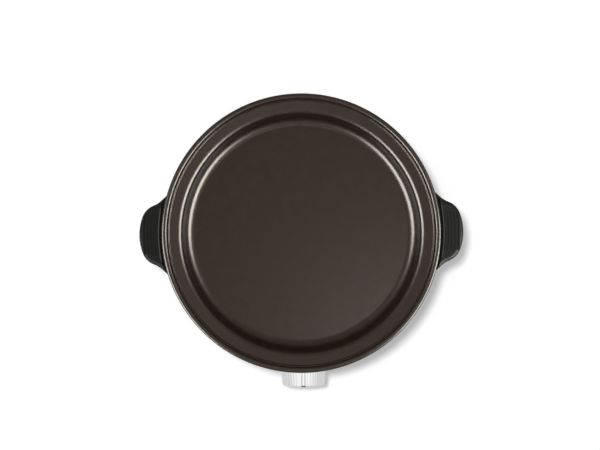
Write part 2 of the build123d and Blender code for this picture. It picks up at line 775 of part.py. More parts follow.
def spindle_tip():
    """Rear end of the spindle, just in front of the bimetal blade."""
    return bracket_back - insulator_thickness + blade_gap


def spindle_blank():
    """The spindle's shaft with its D flat, without collar or stop lug."""
    shaft = rod(spindle_radius, spindle_tip(), spindle_front())
    flat = block((-spindle_radius, spindle_radius),
                 (-spindle_front(), spindle_flat_length - spindle_front()),
                 (knob_height + spindle_flat, knob_height + spindle_radius))
    return shaft - flat


def sector(inner, outer, angle, half_angle, back, front):
    """Part of a ring about the knob's axis; angles run from +X towards +Z."""
    ring = Circle(outer) - Circle(inner)
    reach = 2 * outer
    corners = [(reach * math.cos(math.radians(a)), reach * math.sin(math.radians(a)))
               for a in (angle - half_angle, angle, angle + half_angle)]
    wedge = make_face(Polyline((0, 0), *corners, close=True))
    return dial_plane(back) * extrude(ring & wedge, front - back)


def thermostat_spindle():
    """Spindle with a collar behind the bracket and a lug that meets the travel stop."""
    back, front = spindle_tip(), bracket_back - blade_gap / 2
    collar = rod(spindle_collar_radius, back, front)
    lug = sector(spindle_radius / 2, stop_outer_radius, stop_lug_angle, stop_lug_half_angle, back, front)
    return spindle_blank() + collar + lug


def spindle_bush():
    """Brass bush riveted into the bracket; the spindle runs in it."""
    flange_front = bracket_face + bush_flange
    body = (rod(bush_neck_radius, bracket_back, bracket_face)
            + rod(bush_flange_radius, bracket_face, flange_front)
            + rod(bush_nose_radius, flange_front, flange_front + bush_nose))
    return body - rod(spindle_radius + spindle_running_clearance, bracket_back, flange_front + bush_nose)


def thermostat_bracket():
    """Folded steel bracket: upright plate, foot against the dish, and the travel stop."""
    foot_left = bracket_foot_x - bracket_foot_width / 2
    foot_right = bracket_foot_x + bracket_foot_width / 2
    plate = block((foot_left, bracket_right), (-bracket_face, -bracket_back),
                  (knob_height - bracket_half_height, knob_height + bracket_half_height))
    half = bracket_thickness / 2
    fold = FilletPolyline((half - bracket_face, knob_height), (half - bracket_face, pan_underside - half),
                          (bracket_foot_length - bracket_face, pan_underside - half),
                          radius=bracket_bend - half)
    folded = Pos(foot_left, 0, 0) * extrude(Plane.YZ * trace(fold, bracket_thickness), bracket_foot_width,
                                            dir=(1, 0, 0))
    stop_angle = stop_lug_angle + (360 - knob_travel) / 2
    stop = sector(bush_neck_radius + stop_tab_gap, stop_outer_radius, stop_angle, stop_tab_half_angle,
                  spindle_tip(), bracket_back)
    screw_x, screw_y = underside_screws()[0]
    screw_hole = disc(small_screw_radius + screw_clearance, pan_underside - bracket_thickness,
                      pan_underside, screw_x, screw_y)
    holes = (rod(bush_neck_radius, bracket_back, bracket_face)
             + rod(rivet_radius, bracket_back, bracket_face, stack_x))
    return plate + folded + stop - holes - screw_hole


def stack_depths():
    """Depth of each layer of the contact stack behind the bracket, front face first."""
    layers = [("front_insulator", insulator_thickness), ("bimetal", bimetal_thickness),
              ("spacer", spacer_thickness), ("spring", contact_spring_thickness),
              ("rear_insulator", insulator_thickness), ("plate", contact_plate_thickness),
              ("end_insulator", insulator_thickness)]
    depths, face = {}, bracket_back
    for name, thickness in layers:
        depths[name] = (face - thickness, face)
        face -= thickness
    return depths


def stack_insulators():
    """Four ceramic rings threaded on the rivet, and the ceramic stud that moves the contact spring."""
    depths = stack_depths()
    rings = [rod(stack_radius, *depths[name], stack_x) - rod(rivet_radius, *depths[name], stack_x)
             for name in ("front_insulator", "spacer", "rear_insulator", "end_insulator")]
    return Compound(rings + [rod(pusher_radius, *depths["spacer"], pusher_x)])


def blade(layer, left, right):
    """Flat strip of the contact stack between two x values, with a hole for the rivet."""
    back, front = stack_depths()[layer]
    strip = block((left, right), (-front, -back),
                  (knob_height - blade_width / 2, knob_height + blade_width / 2))
    return strip - rod(rivet_radius, back, front, stack_x)


def bimetal_blade():
    """Bimetal strip that bends as the dish heats."""
    return blade("bimetal", stack_x - stack_radius, blade_tip)


def contact_spring():
    """Thin spring blade with its contact and its terminal tab."""
    back = stack_depths()["spring"][0]
    contact = rod(contact_radius, back - contact_height, back, contact_x)
    return blade("spring", tab_left_end, blade_tip) + contact


def contact_plate():
    """Stiff blade with the fixed contact and its terminal tab."""
    front = stack_depths()["plate"][1]
    return (blade("plate", stack_x - stack_radius, tab_right_end)
            + rod(contact_radius, front, front + contact_height, contact_x))


def stack_rivet():
    """Tubular rivet that clamps the stack to the bracket."""
    back = stack_depths()["end_insulator"][0]
    return (rod(rivet_radius, back, bracket_face, stack_x)
            + rod(rivet_head_radius, bracket_face, bracket_face + rivet_head, stack_x)
            + rod(rivet_head_radius, back - rivet_head, back, stack_x))


def underside_screw_group():
    """Screws that hold the thermostat's bracket, the fuse's clip and the earth tag to the dish."""
    thread = pan_floor / 2 - screw_clearance
    screws = []
    for (x, y), sheet in zip(underside_screws(), (bracket_thickness, clip_thickness, tab_thickness)):
        screw = slotted_screw(small_screw_radius, sheet + thread, small_screw_radius)
        screws.append(Pos(x, y, pan_underside - sheet) * screw)
    return Compound(screws)


# ---------------------------------------------------------------- indicator lamp
def radial_rod(radius, inner, outer):
    """Cylinder that points out through the housing's wall at the lamp's place."""
    return Rot(0, 0, lamp_angle) * cross_rod(radius, inner, outer, 0, lamp_height)


def lens_seat():
    """Radius of the flat seat that the lens's rim stands on."""
    return housing_radius(lamp_height)


def indicator_lens():
    """Clear red lens with a rim outside the housing."""
    wall = lens_seat()
    lens = (radial_rod(lens_radius, wall - lens_length, wall)
            + radial_rod(lens_rim_radius, wall, wall + lens_rim))
    front = max(lens.faces().filter_by(GeomType.PLANE),
                key=lambda face: math.hypot(face.center().X, face.center().Y))
    return chamfer(front.edges(), lens_rim / 2)


def indicator_lamp():
    """Neon lamp behind the lens."""
    back = lens_seat() - lens_length
    return radial_rod(bulb_radius, back - bulb_length, back)


# ---------------------------------------------------------------- appliance inlet
def inlet_face():
    """Rear face of the inlet's flange along +Y."""
    return rear_pad_face + inlet_flange


def inlet_socket():
    """Moulded inlet: flange, tapered-corner body, recess, base and two snap hooks."""
    floor_y = inlet_face() - inlet_recess_depth
    width = inlet_recess_width + 2 * inlet_flange_margin
    height = inlet_recess_height + 2 * inlet_flange_margin
    flange = rounded_plate(width, height, inlet_flange_margin, rear_pad_face, inlet_face(), inlet_height)
    body = inlet_prism(inlet_wall, floor_y - inlet_base, rear_pad_face)
    side = inlet_recess_width / 2 + inlet_wall
    hook_low = inlet_height - snap_drop - snap_width / 2
    inner = housing_radius(hook_low, housing_wall)
    hook_front = math.sqrt(inner**2 - (side + snap_height)**2) - inlet_gap
    hooks = []
    for sign in (-1, 1):
        wedge = make_face(Polyline((sign * side, hook_front), (sign * (side + snap_height), hook_front),
                                   (sign * side, hook_front - snap_length), close=True))
        hooks.append(Pos(0, 0, hook_low) * extrude(wedge, snap_width))
    return flange + body + hooks - inlet_prism(0, floor_y, inlet_face()) - pin_blocks()


def pin_places():
    """(x, z) of the live, neutral and earth pins."""
    return [(-pin_spacing / 2, inlet_height - pin_offset), (pin_spacing / 2, inlet_height - pin_offset),
            (0, inlet_height + pin_offset)]


def pin_tail_end():
    """Inner end of the pins' terminal tails along +Y."""
    return inlet_face() - inlet_recess_depth - inlet_base - pin_tail


def pin_blocks():
    """The three pins as plain bars."""
    floor_y = inlet_face() - inlet_recess_depth
    return [block((x - pin_width / 2, x + pin_width / 2), (pin_tail_end(), floor_y + pin_length),
                  (z - pin_height / 2, z + pin_height / 2)) for x, z in pin_places()]


def inlet_pins():
    """Three pins through the inlet's base, with eased tips."""
    pins = []
    for bar in pin_blocks():
        tip = bar.faces().sort_by(Axis.Y)[-1]
        pins.append(chamfer(tip.edges(), pin_width / 4))
    return Compound(pins)


# ---------------------------------------------------------------- thermal fuse and wiring
def fuse_z():
    """Height of the fuse's axis, close under the dish."""
    return pan_underside - fuse_radius


def thermal_fuse():
    """Thermal fuse held against the dish."""
    return cross_rod(fuse_radius, -fuse_length / 2, fuse_length / 2, fuse_y, fuse_z())


def fuse_clip():
    """Sheet-metal strap round the fuse with one screwed ear."""
    drop = (pan_underside + fuse_z()) / 2
    rise = pan_underside - fuse_z()
    outer = Pos(fuse_y, fuse_z()) * Circle(fuse_radius + clip_thickness)
    outer += Pos(fuse_y, drop) * Rectangle(2 * (fuse_radius + clip_thickness), rise)
    inner = (Pos(fuse_y, fuse_z()) * Circle(fuse_radius)
             + Pos(fuse_y, drop) * Rectangle(2 * fuse_radius, rise))
    depth = 4 * (fuse_radius + clip_thickness)
    below = Pos(fuse_y, pan_underside - depth / 2) * Rectangle(depth, depth)
    ear_start = fuse_y + fuse_radius
    ear = Pos(ear_start + (clip_ear + clip_thickness) / 2, pan_underside - clip_thickness / 2) * Rectangle(
        clip_ear + clip_thickness, clip_thickness)
    section = Plane.YZ * ((outer & below) - inner + ear)
    strap = Pos(-clip_width / 2, 0, 0) * extrude(section, clip_width, dir=(1, 0, 0))
    screw_x, screw_y = underside_screws()[1]
    return strap - disc(small_screw_radius + screw_clearance, pan_underside - clip_thickness, pan_underside,
                        screw_x, screw_y)


def wire(*points, radius=wire_radius):
    """Insulated wire along straight runs joined by arcs."""
    path = FilletPolyline(*points, radius=wire_bend)
    section = Plane(origin=path @ 0, z_dir=path % 0) * Circle(radius)
    return sweep(section, path)


def element_tab_foot(side, offset=0.0):
    """Lower end of one element terminal, at an offset along X from its middle."""
    bottom = pan_underside - element_height / 2 + bead_radius - element_tab_height
    return (side * element_leg_x + offset, element_leg_end + bead_length + tab_thickness / 2, bottom)


def blade_middle(layer):
    """Y of the middle of one blade of the contact stack."""
    return -sum(stack_depths()[layer]) / 2


def live_wire():
    """From the live pin up through the rear cut-out to the thermal fuse."""
    x, z = pin_places()[0]
    end = -fuse_length / 2
    above = shield_top + wire_clearance + wire_radius
    return wire((x, pin_tail_end(), z), (x, pin_tail_end() - wire_lead, z),
                (x - wire_swerve, wiring_notch_start + wire_bend, above),
                (end - wire_lead - wire_clearance, fuse_y + wire_swerve, above),
                (end - wire_lead, fuse_y, fuse_z()), (end, fuse_y, fuse_z()))


def fused_wire():
    """From the fuse back through the rear cut-out to the right-hand element terminal."""
    start = fuse_length / 2
    lane = element_leg_x + wire_swerve
    x, y, z = element_tab_foot(1, -tab_share)
    return wire((start, fuse_y, fuse_z()), (start + wire_lead, fuse_y, fuse_z()),
                (lane, wiring_notch_start, shield_top + wire_clearance),
                (lane, element_leg_end - wire_lead, z - wire_lead), (x, y, z - wire_lead), (x, y, z))


def neutral_wire():
    """From the neutral pin forwards below the heat shield to the thermostat's fixed contact."""
    x, z = pin_places()[1]
    end_x, end_y = tab_right_end - blade_width / 2, blade_middle("plate")
    end_z = knob_height - blade_width / 2
    low = end_z - wire_lead
    return wire((x, pin_tail_end(), z), (x, pin_tail_end() - wire_lead, z), (end_x, fuse_y, low),
                (end_x, end_y, low), (end_x, end_y, end_z))


def switched_wire():
    """From the thermostat's spring blade back to the left-hand element terminal."""
    y = blade_middle("spring")
    lane = -(wire_lane + wire_swerve)
    end_x, end_y, end_z = element_tab_foot(-1)
    return wire((tab_left_end, y, knob_height), (tab_left_end - wire_lead, y, knob_height),
                (lane, -fuse_y, wire_level), (lane, fuse_y, wire_level),
                (-wire_lane, element_leg_end - wire_lead, wire_level),
                (end_x, end_y, end_z - wire_lead), (end_x, end_y, end_z))


def lamp_point(inward, offset):
    """A point behind the lamp: so far in from its end and so far aside from its axis."""
    radius = lens_seat() - lens_length - bulb_length - inward
    turn = math.radians(lamp_angle)
    return (radius * math.cos(turn) - offset * math.sin(turn),
            radius * math.sin(turn) + offset * math.cos(turn), lamp_height)


def lamp_leads():
    """Two leads from the lamp: to the right-hand element terminal and to the spring blade's tab."""
    x, y, z = element_tab_foot(1, tab_share)
    long_lead = wire(lamp_point(0, lamp_lead_offset), lamp_point(wire_bend, lamp_lead_offset),
                     (lamp_lead_lane, -fuse_y, wire_level), (lamp_lead_lane, fuse_y, wire_level),
                     (x, y, wire_level), (x, y, z), radius=lamp_lead_radius)
    behind = -(stack_depths()["end_insulator"][0] - rivet_head - wire_clearance)
    start, turn = lamp_point(0, -lamp_lead_offset), math.radians(lamp_angle)
    inward = (behind - start[1]) / -math.sin(turn)
    tab_x = tab_left_end + blade_width / 2
    tab_y = -stack_depths()["spring"][0]
    short_lead = wire(start, lamp_point(inward, -lamp_lead_offset), (tab_x, behind, lamp_height),
                      (tab_x, tab_y, knob_height), radius=lamp_lead_radius)
    return Compound([long_lead, short_lead])


def earth_tag():
    """Ring tag screwed to the dish, with a tail that the earth wire is soldered to."""
    x, y = underside_screws()[2]
    ring = Pos(x, y) * Circle(earth_tag_radius)
    tail_length = earth_tag_radius + earth_tag_tail
    tail = Pos(x, y + tail_length / 2) * Rectangle(earth_tag_width, tail_length)
    plan = ring + tail - Pos(x, y) * Circle(small_screw_radius + screw_clearance)
    return Pos(0, 0, pan_underside - tab_thickness) * extrude(plan, tab_thickness)


def earth_wire():
    """From the earth pin up to the tag under the dish."""
    x, z = pin_places()[2]
    y = pin_tail_end() - wire_lead
    return wire((x, pin_tail_end(), z), (x, y, z), (x, y, pan_underside - tab_thickness))


def parts():
    """Every node of the cooker by name."""
    nodes = {
        "pan": pan(), "heating_element": heating_element(), "element_end_beads": element_beads(),
        "element_terminals": element_tabs(), "heat_shield": heat_shield(), "pan_screws": pan_screws(),
        "housing": housing(), "left_handle": left_handle(), "right_handle": right_handle(),
        "handle_screws": handle_screws(), "bottom_cover": bottom_cover(), "cover_screws": cover_screws(),
        "knob_sleeve": knob_sleeve(), "knob_core": knob_core(), "knob_spring": knob_spring(),
        "knob_pointer": pointer_bar(), "thermostat_spindle": thermostat_spindle(),
        "spindle_bush": spindle_bush(), "thermostat_bracket": thermostat_bracket(),
        "stack_insulators": stack_insulators(), "bimetal_blade": bimetal_blade(),
        "contact_spring": contact_spring(), "contact_plate": contact_plate(), "stack_rivet": stack_rivet(),
        "underside_screws": underside_screw_group(), "indicator_lens": indicator_lens(),
        "indicator_lamp": indicator_lamp(), "inlet_socket": inlet_socket(), "inlet_pins": inlet_pins(),
        "thermal_fuse": thermal_fuse(), "fuse_clip": fuse_clip(), "live_wire": live_wire(),
        "fused_wire": fused_wire(), "neutral_wire": neutral_wire(), "switched_wire": switched_wire(),
        "lamp_leads": lamp_leads(), "earth_wire": earth_wire(), "earth_tag": earth_tag(),
    }
    corners = ("rear_right", "rear_left", "front_left", "front_right")
    for corner, angle in zip(corners, diagonals):
        nodes["foot_" + corner] = foot(angle)
    to_middle = Pos(0, (knob_front - max(rim_radius, inlet_face())) / 2, 0)
    return {node: to_middle * shape for node, shape in nodes.items()}


os.makedirs("parts", exist_ok=True)
for node, shape in parts().items():
    export_step(shape, f"parts/{node}.step")
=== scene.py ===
"""Round electric egg cooker: finishes, turned and fluted skins, and a plain white studio.

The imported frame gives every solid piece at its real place. This script dresses those pieces and
stands finer meshes of the same sizes in for the coated dish and the plated knob. It adds the
dish's coating films, the beads of the handles and the heat scale round the knob, and sets a
white table under soft light. All lengths are metres.
"""

from __future__ import annotations

import json
import logging
import math
from dataclasses import dataclass, field
from enum import Enum

import bpy
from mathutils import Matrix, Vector

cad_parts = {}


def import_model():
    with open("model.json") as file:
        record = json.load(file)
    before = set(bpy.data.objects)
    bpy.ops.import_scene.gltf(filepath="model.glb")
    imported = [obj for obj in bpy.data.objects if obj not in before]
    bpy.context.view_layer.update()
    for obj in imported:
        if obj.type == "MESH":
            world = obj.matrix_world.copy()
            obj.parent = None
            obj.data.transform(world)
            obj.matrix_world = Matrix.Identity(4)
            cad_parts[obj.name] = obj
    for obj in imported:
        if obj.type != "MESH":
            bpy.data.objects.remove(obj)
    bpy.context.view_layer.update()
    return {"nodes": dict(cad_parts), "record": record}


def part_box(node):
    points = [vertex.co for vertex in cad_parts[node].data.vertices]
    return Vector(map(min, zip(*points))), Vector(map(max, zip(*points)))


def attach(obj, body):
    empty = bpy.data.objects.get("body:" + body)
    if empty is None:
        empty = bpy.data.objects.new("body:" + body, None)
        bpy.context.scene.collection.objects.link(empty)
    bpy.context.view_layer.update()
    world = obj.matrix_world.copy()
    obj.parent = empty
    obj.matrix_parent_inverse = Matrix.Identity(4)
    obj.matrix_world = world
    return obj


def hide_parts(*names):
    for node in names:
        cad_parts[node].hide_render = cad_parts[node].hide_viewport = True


LOG = logging.getLogger("egg_cooker")
MILLIMETRE = 0.001
BASE = "base"
KNOB = "knob"
WHITE = (1.0, 1.0, 1.0, 1.0)
FLAT_STRIP = 4  # vertices in the section of a flat strip

Colour = tuple[float, float, float]
Place = tuple[float, float, float]
Point = tuple[float, float]
Face = tuple[int, ...]
Socket = bpy.types.NodeSocket
Tree = bpy.types.NodeTree
Piece = bpy.types.Object
Inputs = dict[str | int, object]


# ---------------- node materials
def fill_sockets(tree: Tree, node: bpy.types.Node, inputs: Inputs) -> None:
    """Link or set the input sockets of a node.

    Args:
        tree: node tree that holds the node.
        node: node to fill.
        inputs: for each socket, another node's output to link or a value to set.
    """
    for socket, value in inputs.items():
        if isinstance(value, Socket):
            tree.links.new(value, node.inputs[socket])
        else:
            node.inputs[socket].default_value = value


def add_node(tree: Tree, kind: str, inputs: Inputs | None = None, **settings: object) -> bpy.types.Node:
    """Add a node, set it up and fill its sockets.

    Args:
        tree: node tree to add to.
        kind: type of the node, without the "ShaderNode" in front.
        inputs: for each socket, another node's output to link or a value to set.
        settings: properties of the node itself.

    Returns:
        The node.
    """
    node = tree.nodes.new("ShaderNode" + kind)
    for name, value in settings.items():
        setattr(node, name, value)
    fill_sockets(tree, node, inputs or {})
    return node


class NodeSheet:
    """A node material being drawn up, with short helpers for the nodes it needs."""

    def __init__(self, name: str, colour: Colour, roughness: float, metallic: float = 0.0) -> None:
        """Start from a principled shader with even values.

        Args:
            name: name of the material.
            colour: base colour, linear.
            roughness: even roughness, before any variation is linked.
            metallic: 1 for bare metal, 0 otherwise.
        """
        self.colour = colour
        self.material = bpy.data.materials.new(name)
        self.material.use_nodes = True
        self.tree = self.material.node_tree
        self.shader = self.tree.nodes["Principled BSDF"]
        self.fill({"Base Color": (*colour, 1.0), "Roughness": roughness, "Metallic": metallic})
        self.place = add_node(self.tree, "TexCoord").outputs["Object"]

    def fill(self, inputs: Inputs) -> None:
        """Link or set sockets of the principled shader."""
        fill_sockets(self.tree, self.shader, inputs)

    def noise(self, size: float, detail: float = 2.0, stretch: Place = (1.0, 1.0, 1.0)) -> Socket:
        """Add fractal noise in the object's own space.

        Args:
            size: width of the coarsest blotch.
            detail: octaves of finer noise.
            stretch: density along each axis, below 1 to draw the noise out that way.

        Returns:
            The noise value, from 0 to 1.
        """
        mapping = add_node(self.tree, "Mapping", {"Vector": self.place, "Scale": stretch})
        texture = add_node(self.tree, "TexNoise",
                           {"Vector": mapping.outputs["Vector"], "Scale": 1.0 / size, "Detail": detail})
        return texture.outputs["Fac"]

    def rings(self, pitch: float, across: Place = (1.0, 1.0, 0.0)) -> Socket:
        """Add noise that varies only with the distance from an axis, as turning marks do.

        Args:
            pitch: typical width of a mark.
            across: 1 for the directions across the axis and 0 along it.

        Returns:
            The noise value, from 0 to 1.
        """
        flat = add_node(self.tree, "VectorMath", {0: self.place, 1: across}, operation="MULTIPLY")
        reach = add_node(self.tree, "VectorMath", {0: flat.outputs["Vector"]}, operation="LENGTH")
        texture = add_node(self.tree, "TexNoise", {"W": reach.outputs["Value"], "Scale": 1.0 / pitch},
                           noise_dimensions="1D")
        return texture.outputs["Fac"]

    def spread(self, value: Socket, low: float, high: float, start: float = 0.3, end: float = 0.7) -> Socket:
        """Map the middle of a noise value on to a range.

        Args:
            value: noise value.
            low: result at `start`.
            high: result at `end`.
            start: noise value that gives `low`.
            end: noise value that gives `high`.

        Returns:
            The mapped value.
        """
        ends = {"From Min": start, "From Max": end, "To Min": low, "To Max": high}
        return add_node(self.tree, "MapRange", {"Value": value, **ends}).outputs["Result"]

    def tone(self, value: Socket, first: float, second: float,
             start: float = 0.3, end: float = 0.7) -> None:
        """Let the base colour wander between two shades of itself.

        Args:
            value: noise value.
            first: factor on the colour where the noise is at `start`.
            second: factor on the colour where the noise is at `end`.
            start: noise value of the first shade.
            end: noise value of the second shade.
        """
        low, high = ((*(min(1.0, channel * factor) for channel in self.colour), 1.0)
                     for factor in (first, second))
        share = self.spread(value, 0.0, 1.0, start, end)
        mix = add_node(self.tree, "Mix", {"Factor": share, "A": low, "B": high}, data_type="RGBA")
        self.fill({"Base Color": mix.outputs["Result"]})

    def relief(self, *layers: tuple[Socket, float]) -> None:
        """Stack bump layers on the shader's normal.

        Args:
            layers: pairs of a height value from 0 to 1 and its depth.
        """
        below: Inputs = {}
        for height, depth in layers:
            bump = add_node(self.tree, "Bump", {"Height": height, "Distance": depth, **below})
            below = {"Normal": bump.outputs["Normal"]}
        self.fill(below)


@dataclass(frozen=True)
class Finish:
    """What all finishes share: a name and an even colour and roughness, with marks drawn over them."""

    name: str
    colour: Colour
    roughness: float
    metallic = 0.0

    def draw(self, sheet: NodeSheet) -> None:
        """Add the nodes of one kind of finish to its sheet."""
        raise NotImplementedError

    def material(self) -> bpy.types.Material:
        """Draw up the node material.

        Returns:
            The material.
        """
        sheet = NodeSheet(self.name, self.colour, self.roughness, self.metallic)
        self.draw(sheet)
        return sheet.material


@dataclass(frozen=True)
class NonStickCoating(Finish):
    """Sprayed dark coating over turned aluminium: mottled, satin, faintly pebbled."""

    name: str = "non_stick_coating"
    colour: Colour = (0.0188, 0.0107, 0.0068)
    tones: Point = (0.82, 1.2)
    sheen_tint: Colour = (1.0, 0.945, 0.86)
    specular: float = 0.18
    roughness: float = 0.29
    smoother: float = 0.05
    rougher: float = 0.07
    mottle_size: float = 0.006
    pebble_size: float = 0.0006
    pebble_depth: float = 0.000012
    ring_pitch: float = 0.0007
    ring_depth: float = 0.000008

    def draw(self, sheet: NodeSheet) -> None:
        """Draw the mottling, the pebbles and the turning marks."""
        sheet.tone(sheet.noise(self.mottle_size, detail=4.0), *self.tones)
        speck = sheet.noise(self.pebble_size, detail=3.0)
        sheet.fill({
            "Roughness": sheet.spread(speck, self.roughness - self.smoother, self.roughness + self.rougher),
            "Specular IOR Level": self.specular,
            "Specular Tint": (*self.sheen_tint, 1.0),
        })
        sheet.relief((sheet.rings(self.ring_pitch), self.ring_depth), (speck, self.pebble_depth))


@dataclass(frozen=True)
class Moulding(Finish):
    """Moulded plastic, rubber or silicone with a spark-eroded grain."""

    grain_size: float = 0.0003
    grain_depth: float = 0.000015
    specular: float = 0.4
    tones: Point = (0.9, 1.12)
    smoother: float = 0.05
    rougher: float = 0.08
    patch_size: float = 0.02

    def draw(self, sheet: NodeSheet) -> None:
        """Draw the patches and the grain."""
        sheet.tone(sheet.noise(self.patch_size, detail=3.0), *self.tones)
        grain = sheet.noise(self.grain_size, detail=2.0)
        sheet.fill({
            "Roughness": sheet.spread(grain, self.roughness - self.smoother, self.roughness + self.rougher),
            "Specular IOR Level": self.specular,
        })
        sheet.relief((grain, self.grain_depth))


class Drawing(Enum):
    """Direction in which a metal's fine marks are drawn out."""

    ALONG_X = (0.06, 1.0, 1.0)
    ALONG_Y = (1.0, 0.06, 1.0)
    ALONG_Z = (1.0, 1.0, 0.06)
    NONE = (1.0, 1.0, 1.0)


@dataclass(frozen=True)
class Metal(Finish):
    """Bare or plated metal with drawn marks and a little tarnish."""

    metallic = 1.0
    drawing: Drawing = Drawing.NONE
    mark_size: float = 0.0003
    mark_depth: float = 0.000006
    tarnish: float = 0.85
    stain_size: float = 0.008
    stain_span: Point = (0.35, 0.75)
    roughness_swing: Point = (0.8, 1.3)

    def draw(self, sheet: NodeSheet) -> None:
        """Draw the stains and the drawn marks."""
        sheet.tone(sheet.noise(self.stain_size, detail=4.0), 1.0, self.tarnish, *self.stain_span)
        marks = sheet.noise(self.mark_size, 2.0, self.drawing.value)
        smooth, rough = (self.roughness * swing for swing in self.roughness_swing)
        sheet.fill({"Roughness": sheet.spread(marks, smooth, rough)})
        sheet.relief((marks, self.mark_depth))


@dataclass(frozen=True)
class BrightPlate(Finish):
    """Bright plating over moulded plastic: nearly a mirror, faintly wavy, with spun marks."""

    metallic = 1.0
    name: str = "bright_plate"
    colour: Colour = (0.80, 0.80, 0.795)
    roughness: float = 0.12
    roughness_swing: Point = (0.8, 1.25)
    haze_size: float = 0.0009
    ripple_size: float = 0.002
    ripple_depth: float = 0.00001
    spun_pitch: float = 0.00022
    spun_depth: float = 0.0000035
    across_axis: Place = (1.0, 0.0, 1.0)

    def draw(self, sheet: NodeSheet) -> None:
        """Draw the haze, the ripple and the spun marks."""
        ripple = sheet.noise(self.ripple_size, detail=2.0)
        haze = sheet.noise(self.haze_size, detail=3.0)
        smooth, rough = (self.roughness * swing for swing in self.roughness_swing)
        sheet.fill({"Roughness": sheet.spread(haze, smooth, rough)})
        spun = sheet.rings(self.spun_pitch, self.across_axis)
        sheet.relief((ripple, self.ripple_depth), (spun, self.spun_depth))


@dataclass(frozen=True)
class TintedLens(Finish):
    """Clear tinted plastic of the indicator, with a finely ribbed inside and painted shade along the ribs."""

    roughness: float = 0.12
    clearness: float = 0.75
    bending: float = 1.49
    rib_size: float = 0.0006
    rib_depth: float = 0.00001
    rib_painted_shade: float = 0.7

    def draw(self, sheet: NodeSheet) -> None:
        """Draw the ribs, darken the colour along them as painted shade, and let light through."""
        ribs = sheet.noise(self.rib_size, 1.0, Drawing.ALONG_Z.value)
        # Painted shade: the colour darkens along the ribs. It is not a tint of the plastic.
        sheet.tone(ribs, 1.0, self.rib_painted_shade)
        sheet.fill({"Transmission Weight": self.clearness, "IOR": self.bending})
        sheet.relief((ribs, self.rib_depth))


class Finishes:
    """Every finish of the cooker, each drawn up once and shared by the pieces that have it."""

    def __init__(self) -> None:
        """List the finishes by the record's material slots, with the bead's finish (glossy, and lighter as a
        painted highlight) and the print added.
        """
        dark_steel = (0.20, 0.19, 0.18)
        pale_steel = (0.60, 0.60, 0.59)
        named = (
            Moulding("housing_plastic", (0.0125, 0.0125, 0.0118), 0.46, specular=0.35),
            Moulding("handle_plastic", (0.0058, 0.0056, 0.0044), 0.5, specular=0.12),
            # The bead is glossier than the handle, and its colour is lighter as a painted highlight along the
            # handle's inner edge.
            Moulding("bead_gloss_and_painted_highlight", (0.010, 0.010, 0.009), 0.34, 0.0005, 0.000004, 0.75),
            Moulding("dial_print", (0.55, 0.55, 0.53), 0.5, 0.0002, 0.000004),
            Moulding("inlet_plastic", (0.016, 0.016, 0.016), 0.42),
            Moulding("knob_core_plastic", (0.03, 0.03, 0.03), 0.5),
            Moulding("foot_rubber", (0.022, 0.022, 0.022), 0.75, 0.0006, 0.00003, 0.3),
            Moulding("wire_brown", (0.13, 0.055, 0.025), 0.5),
            Moulding("wire_blue", (0.03, 0.11, 0.33), 0.5),
            Moulding("wire_green", (0.05, 0.24, 0.04), 0.5),
            Moulding("lead_white", (0.62, 0.60, 0.55), 0.5),
            Moulding("ceramic_white", (0.78, 0.75, 0.69), 0.62, 0.0005, 0.00002, 0.5),
            Moulding("pointer_black", (0.006, 0.006, 0.006), 0.3, 0.0005, 0.000004),
            Metal("sheath_steel", dark_steel, 0.5, Drawing.NONE, 0.0006, 0.00001, 0.6),
            Metal("shield_steel", (0.66, 0.67, 0.68), 0.28, Drawing.ALONG_X),
            Metal("bracket_steel", pale_steel, 0.32, Drawing.ALONG_X),
            Metal("screw_steel", (0.62, 0.61, 0.58), 0.3),
            Metal("spring_steel", (0.5, 0.5, 0.5), 0.3, Drawing.ALONG_Y),
            Metal("spindle_steel", pale_steel, 0.25, Drawing.ALONG_X, 0.0002),
            Metal("bimetal", (0.52, 0.47, 0.40), 0.34, Drawing.ALONG_X),
            Metal("contact_bronze", (0.68, 0.43, 0.25), 0.3, Drawing.ALONG_X),
            Metal("terminal_brass", (0.74, 0.55, 0.27), 0.3, Drawing.ALONG_Z),
            Metal("pin_nickel", (0.72, 0.69, 0.62), 0.2, Drawing.ALONG_Y),
            Metal("fuse_metal", (0.62, 0.59, 0.52), 0.3, Drawing.ALONG_X),
            TintedLens("lens_red", (0.72, 0.022, 0.016), 0.10, 0.35),
            TintedLens("lamp_glass", (0.85, 0.62, 0.5), 0.05),
        )
        self.listed = {"pan_coating": NonStickCoating(), "knob_chrome": BrightPlate()}
        self.listed.update((finish.name, finish) for finish in named)
        self.drawn: dict[str, bpy.types.Material] = {}

    def of(self, name: str) -> bpy.types.Material:
        """Give a material of the list, drawn up the first time it is asked for.

        Args:
            name: name of the finish.

        Returns:
            The node material.
        """
        if name not in self.drawn:
            self.drawn[name] = self.listed[name].material()
        return self.drawn[name]

    def dress(self, piece: Piece, name: str) -> None:
        """Give one piece a finish of the list."""
        piece.data.materials.clear()
        piece.data.materials.append(self.of(name))


# ---------------- meshes
def plan_centre(low: Vector, high: Vector) -> Point:
    """Middle of a box in plan."""
    return ((low.x + high.x) / 2, (low.y + high.y) / 2)


def band(first: int, second: int, count: int) -> list[Face]:
    """Faces between two closed rows of vertices.

    Args:
        first: index where one row starts.
        second: index where the other row starts.
        count: vertices in each row.

    Returns:
        The faces, all the way round.
    """
    return [(first + j, second + j, second + (j + 1) % count, first + (j + 1) % count) for j in range(count)]


def strip_faces(first: int, sections: int, ring: int) -> list[Face]:
    """Faces of a closed strip: its skin and its two ends.

    Args:
        first: index of its first vertex.
        sections: number of sections along it.
        ring: vertices in each section, which run anticlockwise as seen along the strip.

    Returns:
        The faces.
    """
    last = first + (sections - 1) * ring
    faces: list[Face] = [tuple(range(first, first + ring)), tuple(range(last + ring - 1, last - 1, -1))]
    for start in range(first, last, ring):
        for k in range(ring):
            a, b = start + k, start + (k + 1) % ring
            faces.append((b, a, a + ring, b + ring))
    return faces


